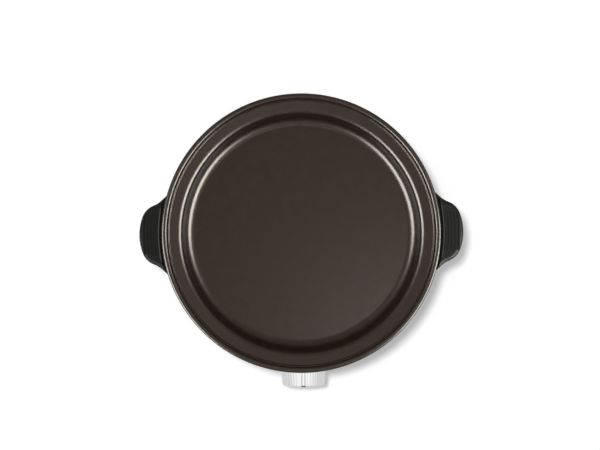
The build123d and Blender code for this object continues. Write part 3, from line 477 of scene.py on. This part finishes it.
def mesh_piece(name: str, corners: list[Place], faces: list[Face], normals: list[Place] | None = None,
               smooth: bool = True) -> Piece:
    """Make a mesh object.

    Args:
        name: name of the piece.
        corners: vertex places.
        faces: vertex indices of each face, anticlockwise from outside.
        normals: exact vertex normals, where the form gives them.
        smooth: whether the faces are shaded as one smooth skin.

    Returns:
        The linked object.
    """
    mesh = bpy.data.meshes.new(name)
    mesh.from_pydata(corners, [], faces)
    mesh.validate()
    if smooth:
        mesh.shade_smooth()
    if normals is not None:
        mesh.normals_split_custom_set_from_vertices(normals)
    piece = bpy.data.objects.new(name, mesh)
    bpy.context.scene.collection.objects.link(piece)
    return piece


@dataclass
class RoundedOutline:
    """Half profile of a turned piece: each corner with the radius that eases it."""

    corners: list[tuple[Point, float]]
    arc_step: float = math.radians(8.0)

    def points(self) -> list[tuple[Point, Point]]:
        """Walk the outline.

        Returns:
            Pairs of a (radius, height) point and its outward normal, from first corner to last.
        """
        walk = [(self.corners[0][0], self.side_normal(0))]
        for i in range(1, len(self.corners) - 1):
            walk += self.eased_corner(i)
        walk.append((self.corners[-1][0], self.side_normal(len(self.corners) - 2)))
        return walk

    def side(self, index: int) -> Vector:
        """Unit direction from one corner to the next."""
        return (Vector(self.corners[index + 1][0]) - Vector(self.corners[index][0])).normalized()

    def side_normal(self, index: int) -> Point:
        """Outward normal of one side."""
        along = self.side(index)
        return (-along.y, along.x)

    def eased_corner(self, index: int) -> list[tuple[Point, Point]]:
        """Walk the arc that eases one corner.

        Args:
            index: which corner.

        Returns:
            Pairs of a point and its outward normal along the arc.
        """
        corner, radius = self.corners[index]
        before, after = self.side(index - 1), self.side(index)
        turn = math.atan2(before.x * after.y - before.y * after.x, before.dot(after))
        start = Vector(corner) - before * (radius * math.tan(abs(turn) / 2))
        normal = Vector((-before.y, before.x))
        bulge = math.copysign(radius, turn)
        centre = start + normal * bulge
        steps = max(2, math.ceil(abs(turn) / self.arc_step))
        arc = []
        for k in range(steps + 1):
            swing = turn * k / steps
            spoke = Vector((normal.x * math.cos(swing) - normal.y * math.sin(swing),
                            normal.x * math.sin(swing) + normal.y * math.cos(swing)))
            point = centre - spoke * bulge
            arc.append(((point.x, point.y), (spoke.x, spoke.y)))
        return arc


def turned(points: list[Point], turns: int) -> list[Place]:
    """Turn (radius, height) points about an upright axis, row by row."""
    angles = [math.tau * j / turns for j in range(turns)]
    return [(radius * math.cos(angle), radius * math.sin(angle), height)
            for radius, height in points for angle in angles]


def turned_piece(name: str, outline: RoundedOutline, axis: Point, turns: int) -> Piece:
    """Turn an outline about an upright axis, which becomes the piece's own origin.

    Args:
        name: name of the piece.
        outline: half profile that starts and ends on the axis.
        axis: where the axis stands.
        turns: number of steps round the axis.

    Returns:
        The linked object.
    """
    walk = outline.points()
    inner = walk[1:-1]
    corners = turned([point for point, _ in inner], turns)
    normals = turned([normal for _, normal in inner], turns)
    faces: list[Face] = []
    for i in range(len(inner) - 1):
        faces += band(i * turns, (i + 1) * turns, turns)
    hub = len(corners)
    corners += [(0.0, 0.0, walk[0][0][1]), (0.0, 0.0, walk[-1][0][1])]
    normals += [(0.0, 0.0, walk[0][1][1]), (0.0, 0.0, walk[-1][1][1])]
    last_row = (len(inner) - 1) * turns
    for j in range(turns):
        k = (j + 1) % turns
        faces += [(hub, j, k), (hub + 1, last_row + k, last_row + j)]
    piece = mesh_piece(name, corners, faces, normals)
    piece.location = (*axis, 0.0)
    return piece


def turned_ring(name: str, loop: list[Point], axis: Point, turns: int) -> Piece:
    """Turn a closed loop that stays clear of the axis, with crisp edges.

    Args:
        name: name of the piece.
        loop: (radius, height) corners, clockwise where the axis is on the left.
        axis: where the axis stands.
        turns: number of steps round the axis.

    Returns:
        The linked object.
    """
    faces: list[Face] = []
    for i in range(len(loop)):
        faces += band(i * turns, (i + 1) % len(loop) * turns, turns)
    piece = mesh_piece(name, turned(loop, turns), faces, smooth=False)
    piece.location = (*axis, 0.0)
    return piece


# ---------------- sub-assemblies
@dataclass
class CookingDish:
    """The coated dish: rolled rim, lid groove and ridge, falling flange and leaning well."""

    finishes: Finishes
    roll_width: float = 0.00318
    roll_radius: float = 0.0014
    groove_width: float = 0.00035
    groove_depth: float = 0.0028
    groove_round: float = 0.0001
    ridge_width: float = 0.00048
    ridge_depth: float = 0.0018
    ridge_round: float = 0.00034
    ridge_back_round: float = 0.00012
    ridge_slope: float = 0.00025
    flange_depth: float = 0.0030
    flange_fall: float = 0.0006
    flange_thickness: float = 0.0016
    well_radius: float = 0.0686
    well_depth: float = 0.0180
    well_draft: float = math.radians(8.0)
    floor_fillet: float = 0.0050
    shoulder_fillet: float = 0.0032
    wall: float = 0.0025
    floor: float = 0.0040
    crease: float = 0.0004
    film: float = 0.00005
    film_margin: float = 0.0001
    turns: int = 320
    axis: Point = field(init=False)
    rim: float = field(init=False)
    crest: float = field(init=False)

    def measure(self) -> None:
        """Read the dish's place and size from the frame."""
        low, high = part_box("pan")
        self.axis = plan_centre(low, high)
        self.rim, self.crest = (high.x - low.x) / 2, high.z

    @property
    def ridge_outside(self) -> float:
        """Radius where the ridge meets the groove."""
        return self.rim - self.roll_width - self.groove_width

    @property
    def flange_outside(self) -> float:
        """Radius where the flange meets the foot of the ridge."""
        return self.ridge_outside - self.ridge_width - self.ridge_slope

    @property
    def shoulder(self) -> float:
        """Height where the flange turns down into the well."""
        return self.crest - self.flange_depth - self.flange_fall

    @property
    def floor_top(self) -> float:
        """Height of the well's floor."""
        return self.crest - self.well_depth

    def wall_at(self, height: float) -> float:
        """Inside radius of the well's wall at a height."""
        return self.well_radius - (self.shoulder - height) * math.tan(self.well_draft)

    def outline(self) -> RoundedOutline:
        """Draw the half profile, from the middle of the floor round the rim to the underside.

        Returns:
            The outline.
        """
        roll_inside = self.rim - self.roll_width
        ridge_inside = self.ridge_outside - self.ridge_width
        ridge, groove = self.crest - self.ridge_depth, self.crest - self.groove_depth
        under_flange = self.shoulder - self.flange_thickness
        underside = self.floor_top - self.floor
        skin = self.wall / math.cos(self.well_draft)
        return RoundedOutline([
            ((0.0, self.floor_top), 0.0),
            ((self.wall_at(self.floor_top), self.floor_top), self.floor_fillet),
            ((self.well_radius, self.shoulder), self.shoulder_fillet),
            ((self.flange_outside, self.crest - self.flange_depth), self.crease),
            ((ridge_inside, ridge), self.ridge_round),
            ((self.ridge_outside, ridge), self.ridge_back_round),
            ((self.ridge_outside, groove), self.groove_round),
            ((roll_inside, groove), self.groove_round),
            ((roll_inside, self.crest), self.roll_radius),
            ((self.rim, self.crest), self.roll_radius),
            ((self.rim, under_flange), self.crease),
            ((self.wall_at(under_flange) + skin, under_flange), self.crease),
            ((self.wall_at(underside) + skin, underside), self.wall),
            ((0.0, underside), 0.0),
        ])

    def build(self) -> None:
        """Turn the dish, put it in the place of the plain solid and coat its flats."""
        self.measure()
        dish = turned_piece("dish", self.outline(), self.axis, self.turns)
        self.finishes.dress(dish, "pan_coating")
        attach(dish, BASE)
        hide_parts("pan")
        LOG.info("dish: rim %.1f mm across, %d faces", 2 * self.rim / MILLIMETRE, len(dish.data.polygons))
        self.coat_floor()
        self.coat_flange()

    def coat_floor(self) -> None:
        """Lay the sprayed film over the flat of the floor."""
        fillet_reach = self.floor_fillet * math.tan((math.pi / 2 - self.well_draft) / 2)
        edge = self.wall_at(self.floor_top) - fillet_reach - self.film_margin
        top, under = self.floor_top + self.film, self.floor_top - self.film
        outline = RoundedOutline([((0.0, top), 0.0), ((edge, top), self.film / 2),
                                  ((edge, under), self.film / 2), ((0.0, under), 0.0)])
        self.finish_film(turned_piece("floor_film", outline, self.axis, self.turns))

    def coat_flange(self) -> None:
        """Lay the sprayed film over the flat of the flange."""
        fall = self.flange_fall / (self.flange_outside - self.well_radius)
        fillet_turn = math.pi / 2 - self.well_draft - math.atan(fall)
        inside = self.well_radius + self.shoulder_fillet * math.tan(fillet_turn / 2) + self.film_margin
        outside = self.flange_outside - self.crease - self.film_margin
        line = [(radius, self.shoulder + (radius - self.well_radius) * fall) for radius in (inside, outside)]
        loop = [(radius, height + self.film) for radius, height in line]
        loop += [(radius, height - self.film) for radius, height in reversed(line)]
        self.finish_film(turned_ring("flange_film", loop, self.axis, self.turns))

    def finish_film(self, film: Piece) -> None:
        """Give a film the dish's finish and let it ride with the dish.

        Args:
            film: the floor's or the flange's film.
        """
        self.finishes.dress(film, "pan_coating")
        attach(film, BASE)
        LOG.info("%s: %d faces", film.name, len(film.data.polygons))


@dataclass
class ControlKnob:
    """The plated, fluted knob with its pointer ridge and black index."""

    finishes: Finishes
    flutes: int = 44
    flute_depth: float = 0.00016
    pointer_groove_depth: float = 0.0011
    flute_sharpness: int = 5
    flute_columns: int = 12
    edge: float = 0.0011
    taper: float = 0.0010
    wall: float = 0.0013
    face: float = 0.0015
    back_ease: float = 0.00025
    land: float = 0.84
    step: float = 0.065
    crisp: float = 0.012
    recess: float = 0.00048
    crown: float = 0.00036
    index_width: float = 0.0023
    index_climb: float = math.radians(66.0)
    index_inner: float = 0.0035
    index_rise: float = 0.00008
    index_root: float = 0.00016
    side_rows: int = 5
    edge_rows: int = 8
    crown_rows: int = 12
    index_rows: int = 16
    centre: Vector = field(init=False)
    radius: float = field(init=False)
    back: float = field(init=False)
    front: float = field(init=False)

    def measure(self) -> None:
        """Read the knob's place and size from the frame."""
        low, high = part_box("knob_sleeve")
        self.radius = (high.x - low.x) / 2
        self.centre = Vector(((high.x + low.x) / 2, 0.0, low.z + self.radius))
        self.back, self.front = high.y, low.y + self.index_rise

    @property
    def front_radius(self) -> float:
        """Radius at the front, where the rounded edge begins."""
        return self.radius - self.taper

    def flute(self, column: int) -> float:
        """Depth of the fluting.

        Args:
            column: place round the knob, from 0 at the pointer's middle.

        Returns:
            The depth there.
        """
        phase = column / self.flute_columns
        groove = (0.5 - 0.5 * math.cos(math.tau * phase)) ** self.flute_sharpness
        beside_pointer = phase < 1.0 or phase > self.flutes - 1.0
        return groove * (self.pointer_groove_depth if beside_pointer else self.flute_depth)

    def on_edge(self, swing: float) -> Point:
        """(y, radius) on the rounded front edge, from 0 at the side to a right angle at the face."""
        return (self.front + self.edge * (1 - math.sin(swing)),
                self.front_radius - self.edge * (1 - math.cos(swing)))

    def face_at(self, radius: float) -> float:
        """Depth of the face: an outer land, a short step and a low crown inside it.

        Args:
            radius: distance from the knob's axis.

        Returns:
            y of the face there.
        """
        share = radius / self.front_radius
        if share >= self.land:
            return self.front
        inner = self.land - self.step
        if share >= inner:
            return self.front + self.recess * (self.land - share) / self.step
        return self.front + self.recess - self.crown * (1 - (share / inner) ** 2)

    def skin_rows(self) -> list[Place]:
        """Rows of the sleeve from the bore's back edge round the outside to the face.

        Returns:
            (y, radius, share of the fluting) of each row.
        """
        bore = self.front_radius - self.flute_depth - self.wall
        side_back = self.back - self.back_ease
        rows = [(self.front + self.face, 0.0, 0.0), (self.front + self.face, bore, 0.0),
                (self.back, bore, 0.0), (self.back, self.radius - self.back_ease, 1.0),
                (side_back, self.radius, 1.0)]
        for k in range(1, self.side_rows + 1):
            share = k / self.side_rows
            rows.append((side_back + (self.front + self.edge - side_back) * share,
                         self.radius - self.taper * share, 1.0))
        for k in range(1, self.edge_rows + 1):
            swing = math.radians(90.0 * k / self.edge_rows)
            rows.append((*self.on_edge(swing), math.cos(swing) ** 2))
        inner = self.land - self.step
        shares = [self.land + self.crisp, self.land, inner, inner - self.crisp]
        shares += [shares[-1] * k / self.crown_rows for k in range(self.crown_rows - 1, -1, -1)]
        radii = [share * self.front_radius for share in shares]
        return rows + [(self.face_at(radius), radius, 0.0) for radius in radii]

    def build_sleeve(self) -> None:
        """Make the fluted sleeve."""
        columns = self.flutes * self.flute_columns
        middle = (self.front + self.back) / 2
        corners: list[Place] = []
        starts: list[tuple[int, int]] = []
        for y, radius, share in self.skin_rows():
            starts.append((len(corners), 1 if radius == 0.0 else columns))
            for column in range(starts[-1][1]):
                angle = math.tau * column / columns
                reach = radius - share * self.flute(column) if radius else 0.0
                corners.append((reach * math.sin(angle), y - middle, reach * math.cos(angle)))
        faces: list[Face] = []
        for (first, count), (second, next_count) in zip(starts, starts[1:]):
            for column in range(columns):
                after = (column + 1) % columns
                if count == 1:
                    faces.append((first, second + after, second + column))
                elif next_count == 1:
                    faces.append((first + column, first + after, second))
                else:
                    faces.append((first + column, first + after, second + after, second + column))
        sleeve = mesh_piece("knob_plated_sleeve", corners, faces)
        sleeve.location = (self.centre.x, middle, self.centre.z)
        self.finishes.dress(sleeve, "knob_chrome")
        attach(sleeve, KNOB)
        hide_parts("knob_sleeve")
        LOG.info("knob: %.1f mm across, %d faces", 2 * self.radius / MILLIMETRE, len(sleeve.data.polygons))

    def index_path(self) -> list[Point]:
        """Middle line of the index, from inside the face out and round the front edge.

        Returns:
            (y, radius) of each point.
        """
        reach = self.front_radius - self.edge - self.index_inner
        radii = [self.index_inner + reach * k / self.index_rows for k in range(self.index_rows)]
        path = [(self.face_at(radius), radius) for radius in radii]
        path += [self.on_edge(math.pi / 2 - self.index_climb * k / self.edge_rows)
                 for k in range(self.edge_rows + 1)]
        return path

    def build_index(self) -> None:
        """Make the black index: a thin strip over the face and down over the front edge."""
        path = self.index_path()
        half = self.index_width / 2
        top_half = half - self.index_rise
        corners: list[Place] = []
        for i, (y, radius) in enumerate(path):
            before, after = path[max(0, i - 1)], path[min(len(path) - 1, i + 1)]
            along = Vector((after[0] - before[0], after[1] - before[1])).normalized()
            out = Vector((-along.y, along.x))
            corners += [(self.centre.x + aside, y + out.x * rise, self.centre.z + radius + out.y * rise)
                        for aside, rise in ((-half, -self.index_root), (-top_half, self.index_rise),
                                            (top_half, self.index_rise), (half, -self.index_root))]
        strip = mesh_piece("knob_index", corners, strip_faces(0, len(path), FLAT_STRIP))
        self.finishes.dress(strip, "pointer_black")
        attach(strip, KNOB)
        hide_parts("knob_pointer")
        LOG.info("knob index: %.1f mm wide", self.index_width / MILLIMETRE)

    def build(self) -> None:
        """Build the sleeve and the index that it carries."""
        self.measure()
        self.build_sleeve()
        self.build_index()


@dataclass
class HeatScale:
    """Printed marks round the knob: a heat wedge that widens clockwise, short ticks and a dot."""

    finishes: Finishes
    inner: float = 0.0151
    wedge_tip: float = 0.0002
    wedge: float = 0.0012
    start: float = math.radians(40.0)
    end: float = math.radians(270.0)
    steps: int = 60
    ticks: int = 6
    tick_inner: float = 0.0168
    tick_length: float = 0.0011
    tick_width: float = 0.0004
    dot_half: float = 0.0005
    film: float = 0.00006
    behind_knob: float = 0.0008
    axis_z: float = field(init=False)
    face: float = field(init=False)

    def measure(self) -> None:
        """Find the dial boss's face behind the knob."""
        low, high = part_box("knob_sleeve")
        self.axis_z = low.z + (high.x - low.x) / 2
        self.face = high.y + self.behind_knob

    def on_face(self, angle: float, radius: float, lift: float) -> Place:
        """Point in front of the dial boss, at a clockwise angle from the top."""
        return (radius * math.sin(angle), self.face - lift, self.axis_z + radius * math.cos(angle))

    def angle_at(self, share: float) -> float:
        """Clockwise angle from the top at a share of the wedge's sweep."""
        return self.start + (self.end - self.start) * share

    def marks(self) -> list[list[Place]]:
        """Outline the wedge, the ticks and the dot at the off end.

        Returns:
            For each mark, (angle, inner radius, outer radius) along it.
        """
        shares = [k / self.steps for k in range(self.steps + 1)]
        drawn = [[(self.angle_at(share), self.inner, self.inner + self.wedge_tip + self.wedge * share)
                  for share in shares]]
        half = self.tick_width / 2 / self.tick_inner
        tick_outer = self.tick_inner + self.tick_length
        for k in range(self.ticks):
            angle = self.angle_at(k / (self.ticks - 1))
            drawn.append([(angle + swing, self.tick_inner, tick_outer) for swing in (-half, half)])
        dot = self.dot_half / self.tick_inner
        drawn.append([(swing, self.inner, self.inner + self.tick_length) for swing in (-dot, dot)])
        return drawn

    def build(self) -> None:
        """Make the printed film as one thin mesh."""
        self.measure()
        corners: list[Place] = []
        faces: list[Face] = []
        for mark in self.marks():
            faces += strip_faces(len(corners), len(mark), FLAT_STRIP)
            for angle, inner, outer in mark:
                corners += [self.on_face(angle, inner, 0.0), self.on_face(angle, outer, 0.0),
                            self.on_face(angle, outer, self.film), self.on_face(angle, inner, self.film)]
        scale = mesh_piece("dial_scale", corners, faces, smooth=False)
        self.finishes.dress(scale, "dial_print")
        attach(scale, BASE)
        LOG.info("dial scale: %d ticks", self.ticks)


@dataclass
class PackedPieces:
    """A sub-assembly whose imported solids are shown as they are; the frame holds their sizes."""

    finishes: Finishes
    nodes: dict[str, Piece]
    slots: dict[str, str]
    pieces: tuple[str, ...] = ()

    def dress(self) -> None:
        """Give each piece the finish of its own material slot."""
        for node in self.pieces:
            self.finishes.dress(self.nodes[node], self.slots[node])
        LOG.info("%s: %s", type(self).__name__, ", ".join(self.pieces))


@dataclass
class Casing(PackedPieces):
    """Moulded housing with its bottom cover, feet, screws, dished shield and indicator lens."""

    pieces: tuple[str, ...] = (
        "housing", "bottom_cover", "underside_screws", "cover_screws", "heat_shield", "indicator_lens",
        "foot_front_left", "foot_front_right", "foot_rear_left", "foot_rear_right",
    )


@dataclass
class SideHandles(PackedPieces):
    """The two flared side handles, the glossy bead along each one's inner edge, lighter than the handle as a
    painted highlight, and their screws.
    """

    pieces: tuple[str, ...] = ("left_handle", "right_handle", "handle_screws")
    below_crest: float = 0.0035
    beyond_rim: float = 0.0019
    bead_width: float = 0.0009
    bead_height: float = 0.00024
    bead_root: float = 0.0004
    bead_half_length: float = 0.0158
    end_squareness: int = 12
    end_girth: float = 0.02
    steps: int = 48
    round_steps: int = 8

    def build(self) -> None:
        """Lay a thin half-round bead on each handle, along an arc about the dish's axis."""
        low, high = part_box("pan")
        radius = (high.x - low.x) / 2 + self.beyond_rim
        for name, middle in (("left_handle_bead", math.pi), ("right_handle_bead", 0.0)):
            bead = self.bead(name, (*plan_centre(low, high), high.z - self.below_crest), radius, middle)
            # The bead's lighter colour is a painted highlight line along the handle's inner edge.
            self.finishes.dress(bead, "bead_gloss_and_painted_highlight")
            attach(bead, BASE)
            LOG.info("%s: %.1f mm long", bead.name, 2 * self.bead_half_length / MILLIMETRE)

    def section(self, girth: float) -> list[Point]:
        """Draw the bead's half-round section, with its root sunk in the handle.

        Args:
            girth: share of the full size.

        Returns:
            (out, up) of each point.
        """
        half = self.bead_width / 2 * girth
        angles = [math.pi * k / self.round_steps for k in range(self.round_steps + 1)]
        top = [(half * math.cos(angle), self.bead_height * girth * math.sin(angle)) for angle in angles]
        return top + [(-half, -self.bead_root), (half, -self.bead_root)]

    def bead(self, name: str, centre: Place, radius: float, middle: float) -> Piece:
        """Sweep the bead's section along its arc, drawn in at both ends.

        Args:
            name: name of the piece.
            centre: centre of the arc, at the height of the surface that it lies on.
            radius: radius of the arc.
            middle: angle of the arc's middle.

        Returns:
            The bead.
        """
        half = math.asin(self.bead_half_length / radius)
        corners: list[Place] = []
        for i in range(self.steps + 1):
            share = 2 * i / self.steps - 1
            girth = math.sqrt(1 - abs(share) ** self.end_squareness) if abs(share) < 1 else self.end_girth
            angle = middle + half * share
            corners += [(centre[0] + (radius + out) * math.cos(angle),
                         centre[1] + (radius + out) * math.sin(angle), centre[2] + up)
                        for out, up in self.section(girth)]
        return mesh_piece(name, corners, strip_faces(0, self.steps + 1, self.round_steps + 3))


@dataclass
class HeatingPlant(PackedPieces):
    """Ring element under the dish, its beads and tags, and the screws of the dish."""

    pieces: tuple[str, ...] = ("heating_element", "element_end_beads", "element_terminals", "pan_screws")


@dataclass
class Thermostat(PackedPieces):
    """Blade stack, contacts, spindle and bush, with the knob's inner core and clip spring."""

    pieces: tuple[str, ...] = (
        "thermostat_bracket", "bimetal_blade", "contact_plate", "contact_spring", "stack_insulators",
        "stack_rivet", "spindle_bush", "thermostat_spindle", "knob_core", "knob_spring",
    )


@dataclass
class MainsWiring(PackedPieces):
    """Appliance inlet, earth, thermal fuse, indicator lamp and every lead between them."""

    pieces: tuple[str, ...] = (
        "inlet_socket", "inlet_pins", "earth_tag", "earth_wire", "live_wire", "neutral_wire", "switched_wire",
        "fused_wire", "thermal_fuse", "fuse_clip", "indicator_lamp", "lamp_leads",
    )


# ---------------- studio
@dataclass(frozen=True)
class SoftBox:
    """One rectangular studio lamp aimed at the cooker.

    A lamp with `only_on` shows as a reflection in those pieces alone. One without it lights
    everything softly and isn't mirrored.
    """

    name: str
    place: Place
    size: Point
    power: float
    only_on: tuple[str, ...] = ()
    aim: Place = (0.0, 0.0, 0.05)

    def hang(self) -> None:
        """Create the lamp."""
        lamp = bpy.data.lights.new(self.name, "AREA")
        lamp.shape = "RECTANGLE"
        lamp.size, lamp.size_y = self.size
        lamp.energy = self.power
        holder = bpy.data.objects.new(self.name, lamp)
        holder.location = self.place
        holder.rotation_euler = (Vector(self.aim) - Vector(self.place)).to_track_quat("-Z", "Y").to_euler()
        holder.visible_camera = False
        holder.visible_glossy = bool(self.only_on)
        holder.visible_diffuse = not self.only_on
        bpy.context.scene.collection.objects.link(holder)
        if self.only_on:
            lit = bpy.data.collections.new(self.name + "_lights")
            for piece in self.only_on:
                lit.objects.link(bpy.data.objects[piece])
            holder.light_linking.receiver_collection = lit


DISH_SKIN = ("dish",)
FLAT_FILMS = ("floor_film", "flange_film")
CASING_SKIN = ("housing", "bottom_cover", "inlet_socket", "indicator_lens")


@dataclass
class Studio:
    """White table, pale surroundings, soft lamps and the camera straight above."""

    camera_height: float = 0.90
    frame_width: float = 0.34266
    shift_in_frame: float = -0.00070
    drop_in_frame: float = 0.00467
    roll: float = math.radians(-0.80)
    sensor: float = 36.0
    table_half: float = 6.0
    table_grey: float = 0.8
    near: float = 0.30
    far: float = 1.0
    near_lift: float = 0.22
    far_lift: float = 1.0
    soft_light: float = 0.336
    mirrored_horizon: float = 0.64
    mirrored_overhead: float = 1.2
    backdrop: float = 1.0
    lamps: tuple[SoftBox, ...] = (
        SoftBox("key_overhead", (-0.127, 0.118, 1.45), (0.12, 0.12), 11.5),
        SoftBox("overhead_glow", (0.19, -0.226, 1.45), (0.16, 0.16), 1.45, DISH_SKIN),
        SoftBox("film_glow", (0.19, -0.226, 1.45), (0.2, 0.2), 3.1, FLAT_FILMS),
        SoftBox("left_strip", (-0.95, -0.38, 0.62), (1.1, 0.80), 136.0, DISH_SKIN),
        SoftBox("right_strip", (0.95, -0.345, 0.62), (1.1, 0.80), 147.0, DISH_SKIN),
        SoftBox("left_grip_sheen", (-0.85, -0.60, 0.62), (0.9, 0.70), 27.0, ("left_handle",)),
        SoftBox("right_grip_sheen", (0.85, -0.60, 0.62), (0.9, 0.70), 82.0, ("right_handle",)),
        SoftBox("left_sheen", (-0.85, -0.55, 0.35), (0.22, 0.9), 5.0, CASING_SKIN),
        SoftBox("right_sheen", (0.85, -0.55, 0.35), (0.22, 0.9), 3.4, CASING_SKIN),
        SoftBox("back_sheen", (-0.45, 0.95, 0.40), (0.22, 0.9), 4.0, CASING_SKIN),
    )

    def lay_table(self) -> None:
        """Make the white table, which stays white in view and keeps the shadow."""
        half = self.table_half
        table = mesh_piece("table", [(-half, -half, 0.0), (half, -half, 0.0), (half, half, 0.0),
                                     (-half, half, 0.0)], [(0, 1, 2, 3)])
        material = bpy.data.materials.new("white_table")
        material.use_nodes = True
        tree = material.node_tree
        tree.nodes.clear()
        place = add_node(tree, "TexCoord").outputs["Object"]
        away = add_node(tree, "VectorMath", {0: place}, operation="LENGTH").outputs["Value"]
        lift = add_node(tree, "MapRange", {"Value": away, "From Min": self.near, "From Max": self.far,
                                           "To Min": self.near_lift, "To Max": self.far_lift})
        in_view = add_node(tree, "LightPath").outputs["Is Camera Ray"]
        glow = add_node(tree, "Math", {0: in_view, 1: lift.outputs["Result"]}, operation="MULTIPLY")
        lifted = add_node(tree, "Emission", {"Strength": glow.outputs["Value"]})
        white = add_node(tree, "BsdfDiffuse", {"Color": WHITE})
        seen = add_node(tree, "AddShader", {0: white.outputs["BSDF"], 1: lifted.outputs["Emission"]})
        grey = add_node(tree, "BsdfDiffuse", {"Color": (*(self.table_grey,) * 3, 1.0)})
        mix = add_node(tree, "MixShader", {"Fac": seen_directly(tree), 1: grey.outputs["BSDF"],
                                           2: seen.outputs["Shader"]})
        add_node(tree, "OutputMaterial", {"Surface": mix.outputs["Shader"]})
        table.data.materials.append(material)

    def surround(self) -> None:
        """Set the pale surroundings, brighter overhead than at the horizon where they are mirrored."""
        world = bpy.data.worlds.new("surroundings")
        bpy.context.scene.world = world
        world.use_nodes = True
        tree = world.node_tree
        tree.nodes.clear()
        path = add_node(tree, "LightPath").outputs
        split = add_node(tree, "SeparateXYZ", {"Vector": add_node(tree, "TexCoord").outputs["Generated"]})
        climb = add_node(tree, "MapRange", {"Value": split.outputs["Z"], "To Min": self.mirrored_horizon,
                                            "To Max": self.mirrored_overhead})
        mirrored = add_node(tree, "Math", {0: path["Is Glossy Ray"], 1: path["Is Transmission Ray"]},
                            operation="MAXIMUM")
        lit = add_node(tree, "Mix", {"Factor": mirrored.outputs["Value"], "A": self.soft_light,
                                     "B": climb.outputs["Result"]})
        strength = add_node(tree, "Mix", {"Factor": path["Is Camera Ray"], "A": lit.outputs["Result"],
                                          "B": self.backdrop})
        background = add_node(tree, "Background", {"Color": WHITE, "Strength": strength.outputs["Result"]})
        add_node(tree, "OutputWorld", {"Surface": background.outputs["Background"]})

    def stand_camera(self) -> None:
        """Put the camera straight above the dish."""
        low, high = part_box("pan")
        centre = plan_centre(low, high)
        camera = bpy.data.cameras.new("camera")
        camera.sensor_width = self.sensor
        camera.lens = self.sensor * self.camera_height / self.frame_width
        holder = bpy.data.objects.new("camera", camera)
        holder.location = (centre[0] + self.shift_in_frame, centre[1] + self.drop_in_frame,
                           high.z + self.camera_height)
        holder.rotation_euler = (0.0, 0.0, self.roll)
        bpy.context.scene.collection.objects.link(holder)
        bpy.context.scene.camera = holder

    def set_up(self) -> None:
        """Stand the camera, lay the table and hang the lamps."""
        self.stand_camera()
        self.lay_table()
        self.surround()
        for lamp in self.lamps:
            lamp.hang()
        bpy.context.scene.view_settings.view_transform = "Standard"
        LOG.info("studio: %d lamps", len(self.lamps))


def seen_directly(tree: Tree) -> Socket:
    """Give 1 for rays from the camera, from reflections and through glass.

    Args:
        tree: node tree to add to.

    Returns:
        The value.
    """
    path = add_node(tree, "LightPath").outputs
    total = path["Is Camera Ray"]
    for kind in ("Is Glossy Ray", "Is Transmission Ray"):
        total = add_node(tree, "Math", {0: total, 1: path[kind]}, operation="MAXIMUM").outputs["Value"]
    return total


def main() -> None:
    """Build and dress the cooker, then set up the studio."""
    logging.basicConfig(level=logging.INFO, format="%(name)s: %(message)s")
    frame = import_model()
    slots = {part["node"]: part["material_slot"] for part in frame["record"]["subparts"]}
    finishes = Finishes()
    for shown in (CookingDish(finishes), ControlKnob(finishes), HeatScale(finishes)):
        shown.build()
    handles = SideHandles(finishes, frame["nodes"], slots)
    handles.build()
    handles.dress()
    for kind in (Casing, HeatingPlant, Thermostat, MainsWiring):
        kind(finishes, frame["nodes"], slots).dress()
    Studio().set_up()


if __name__ == "__main__":
    main()
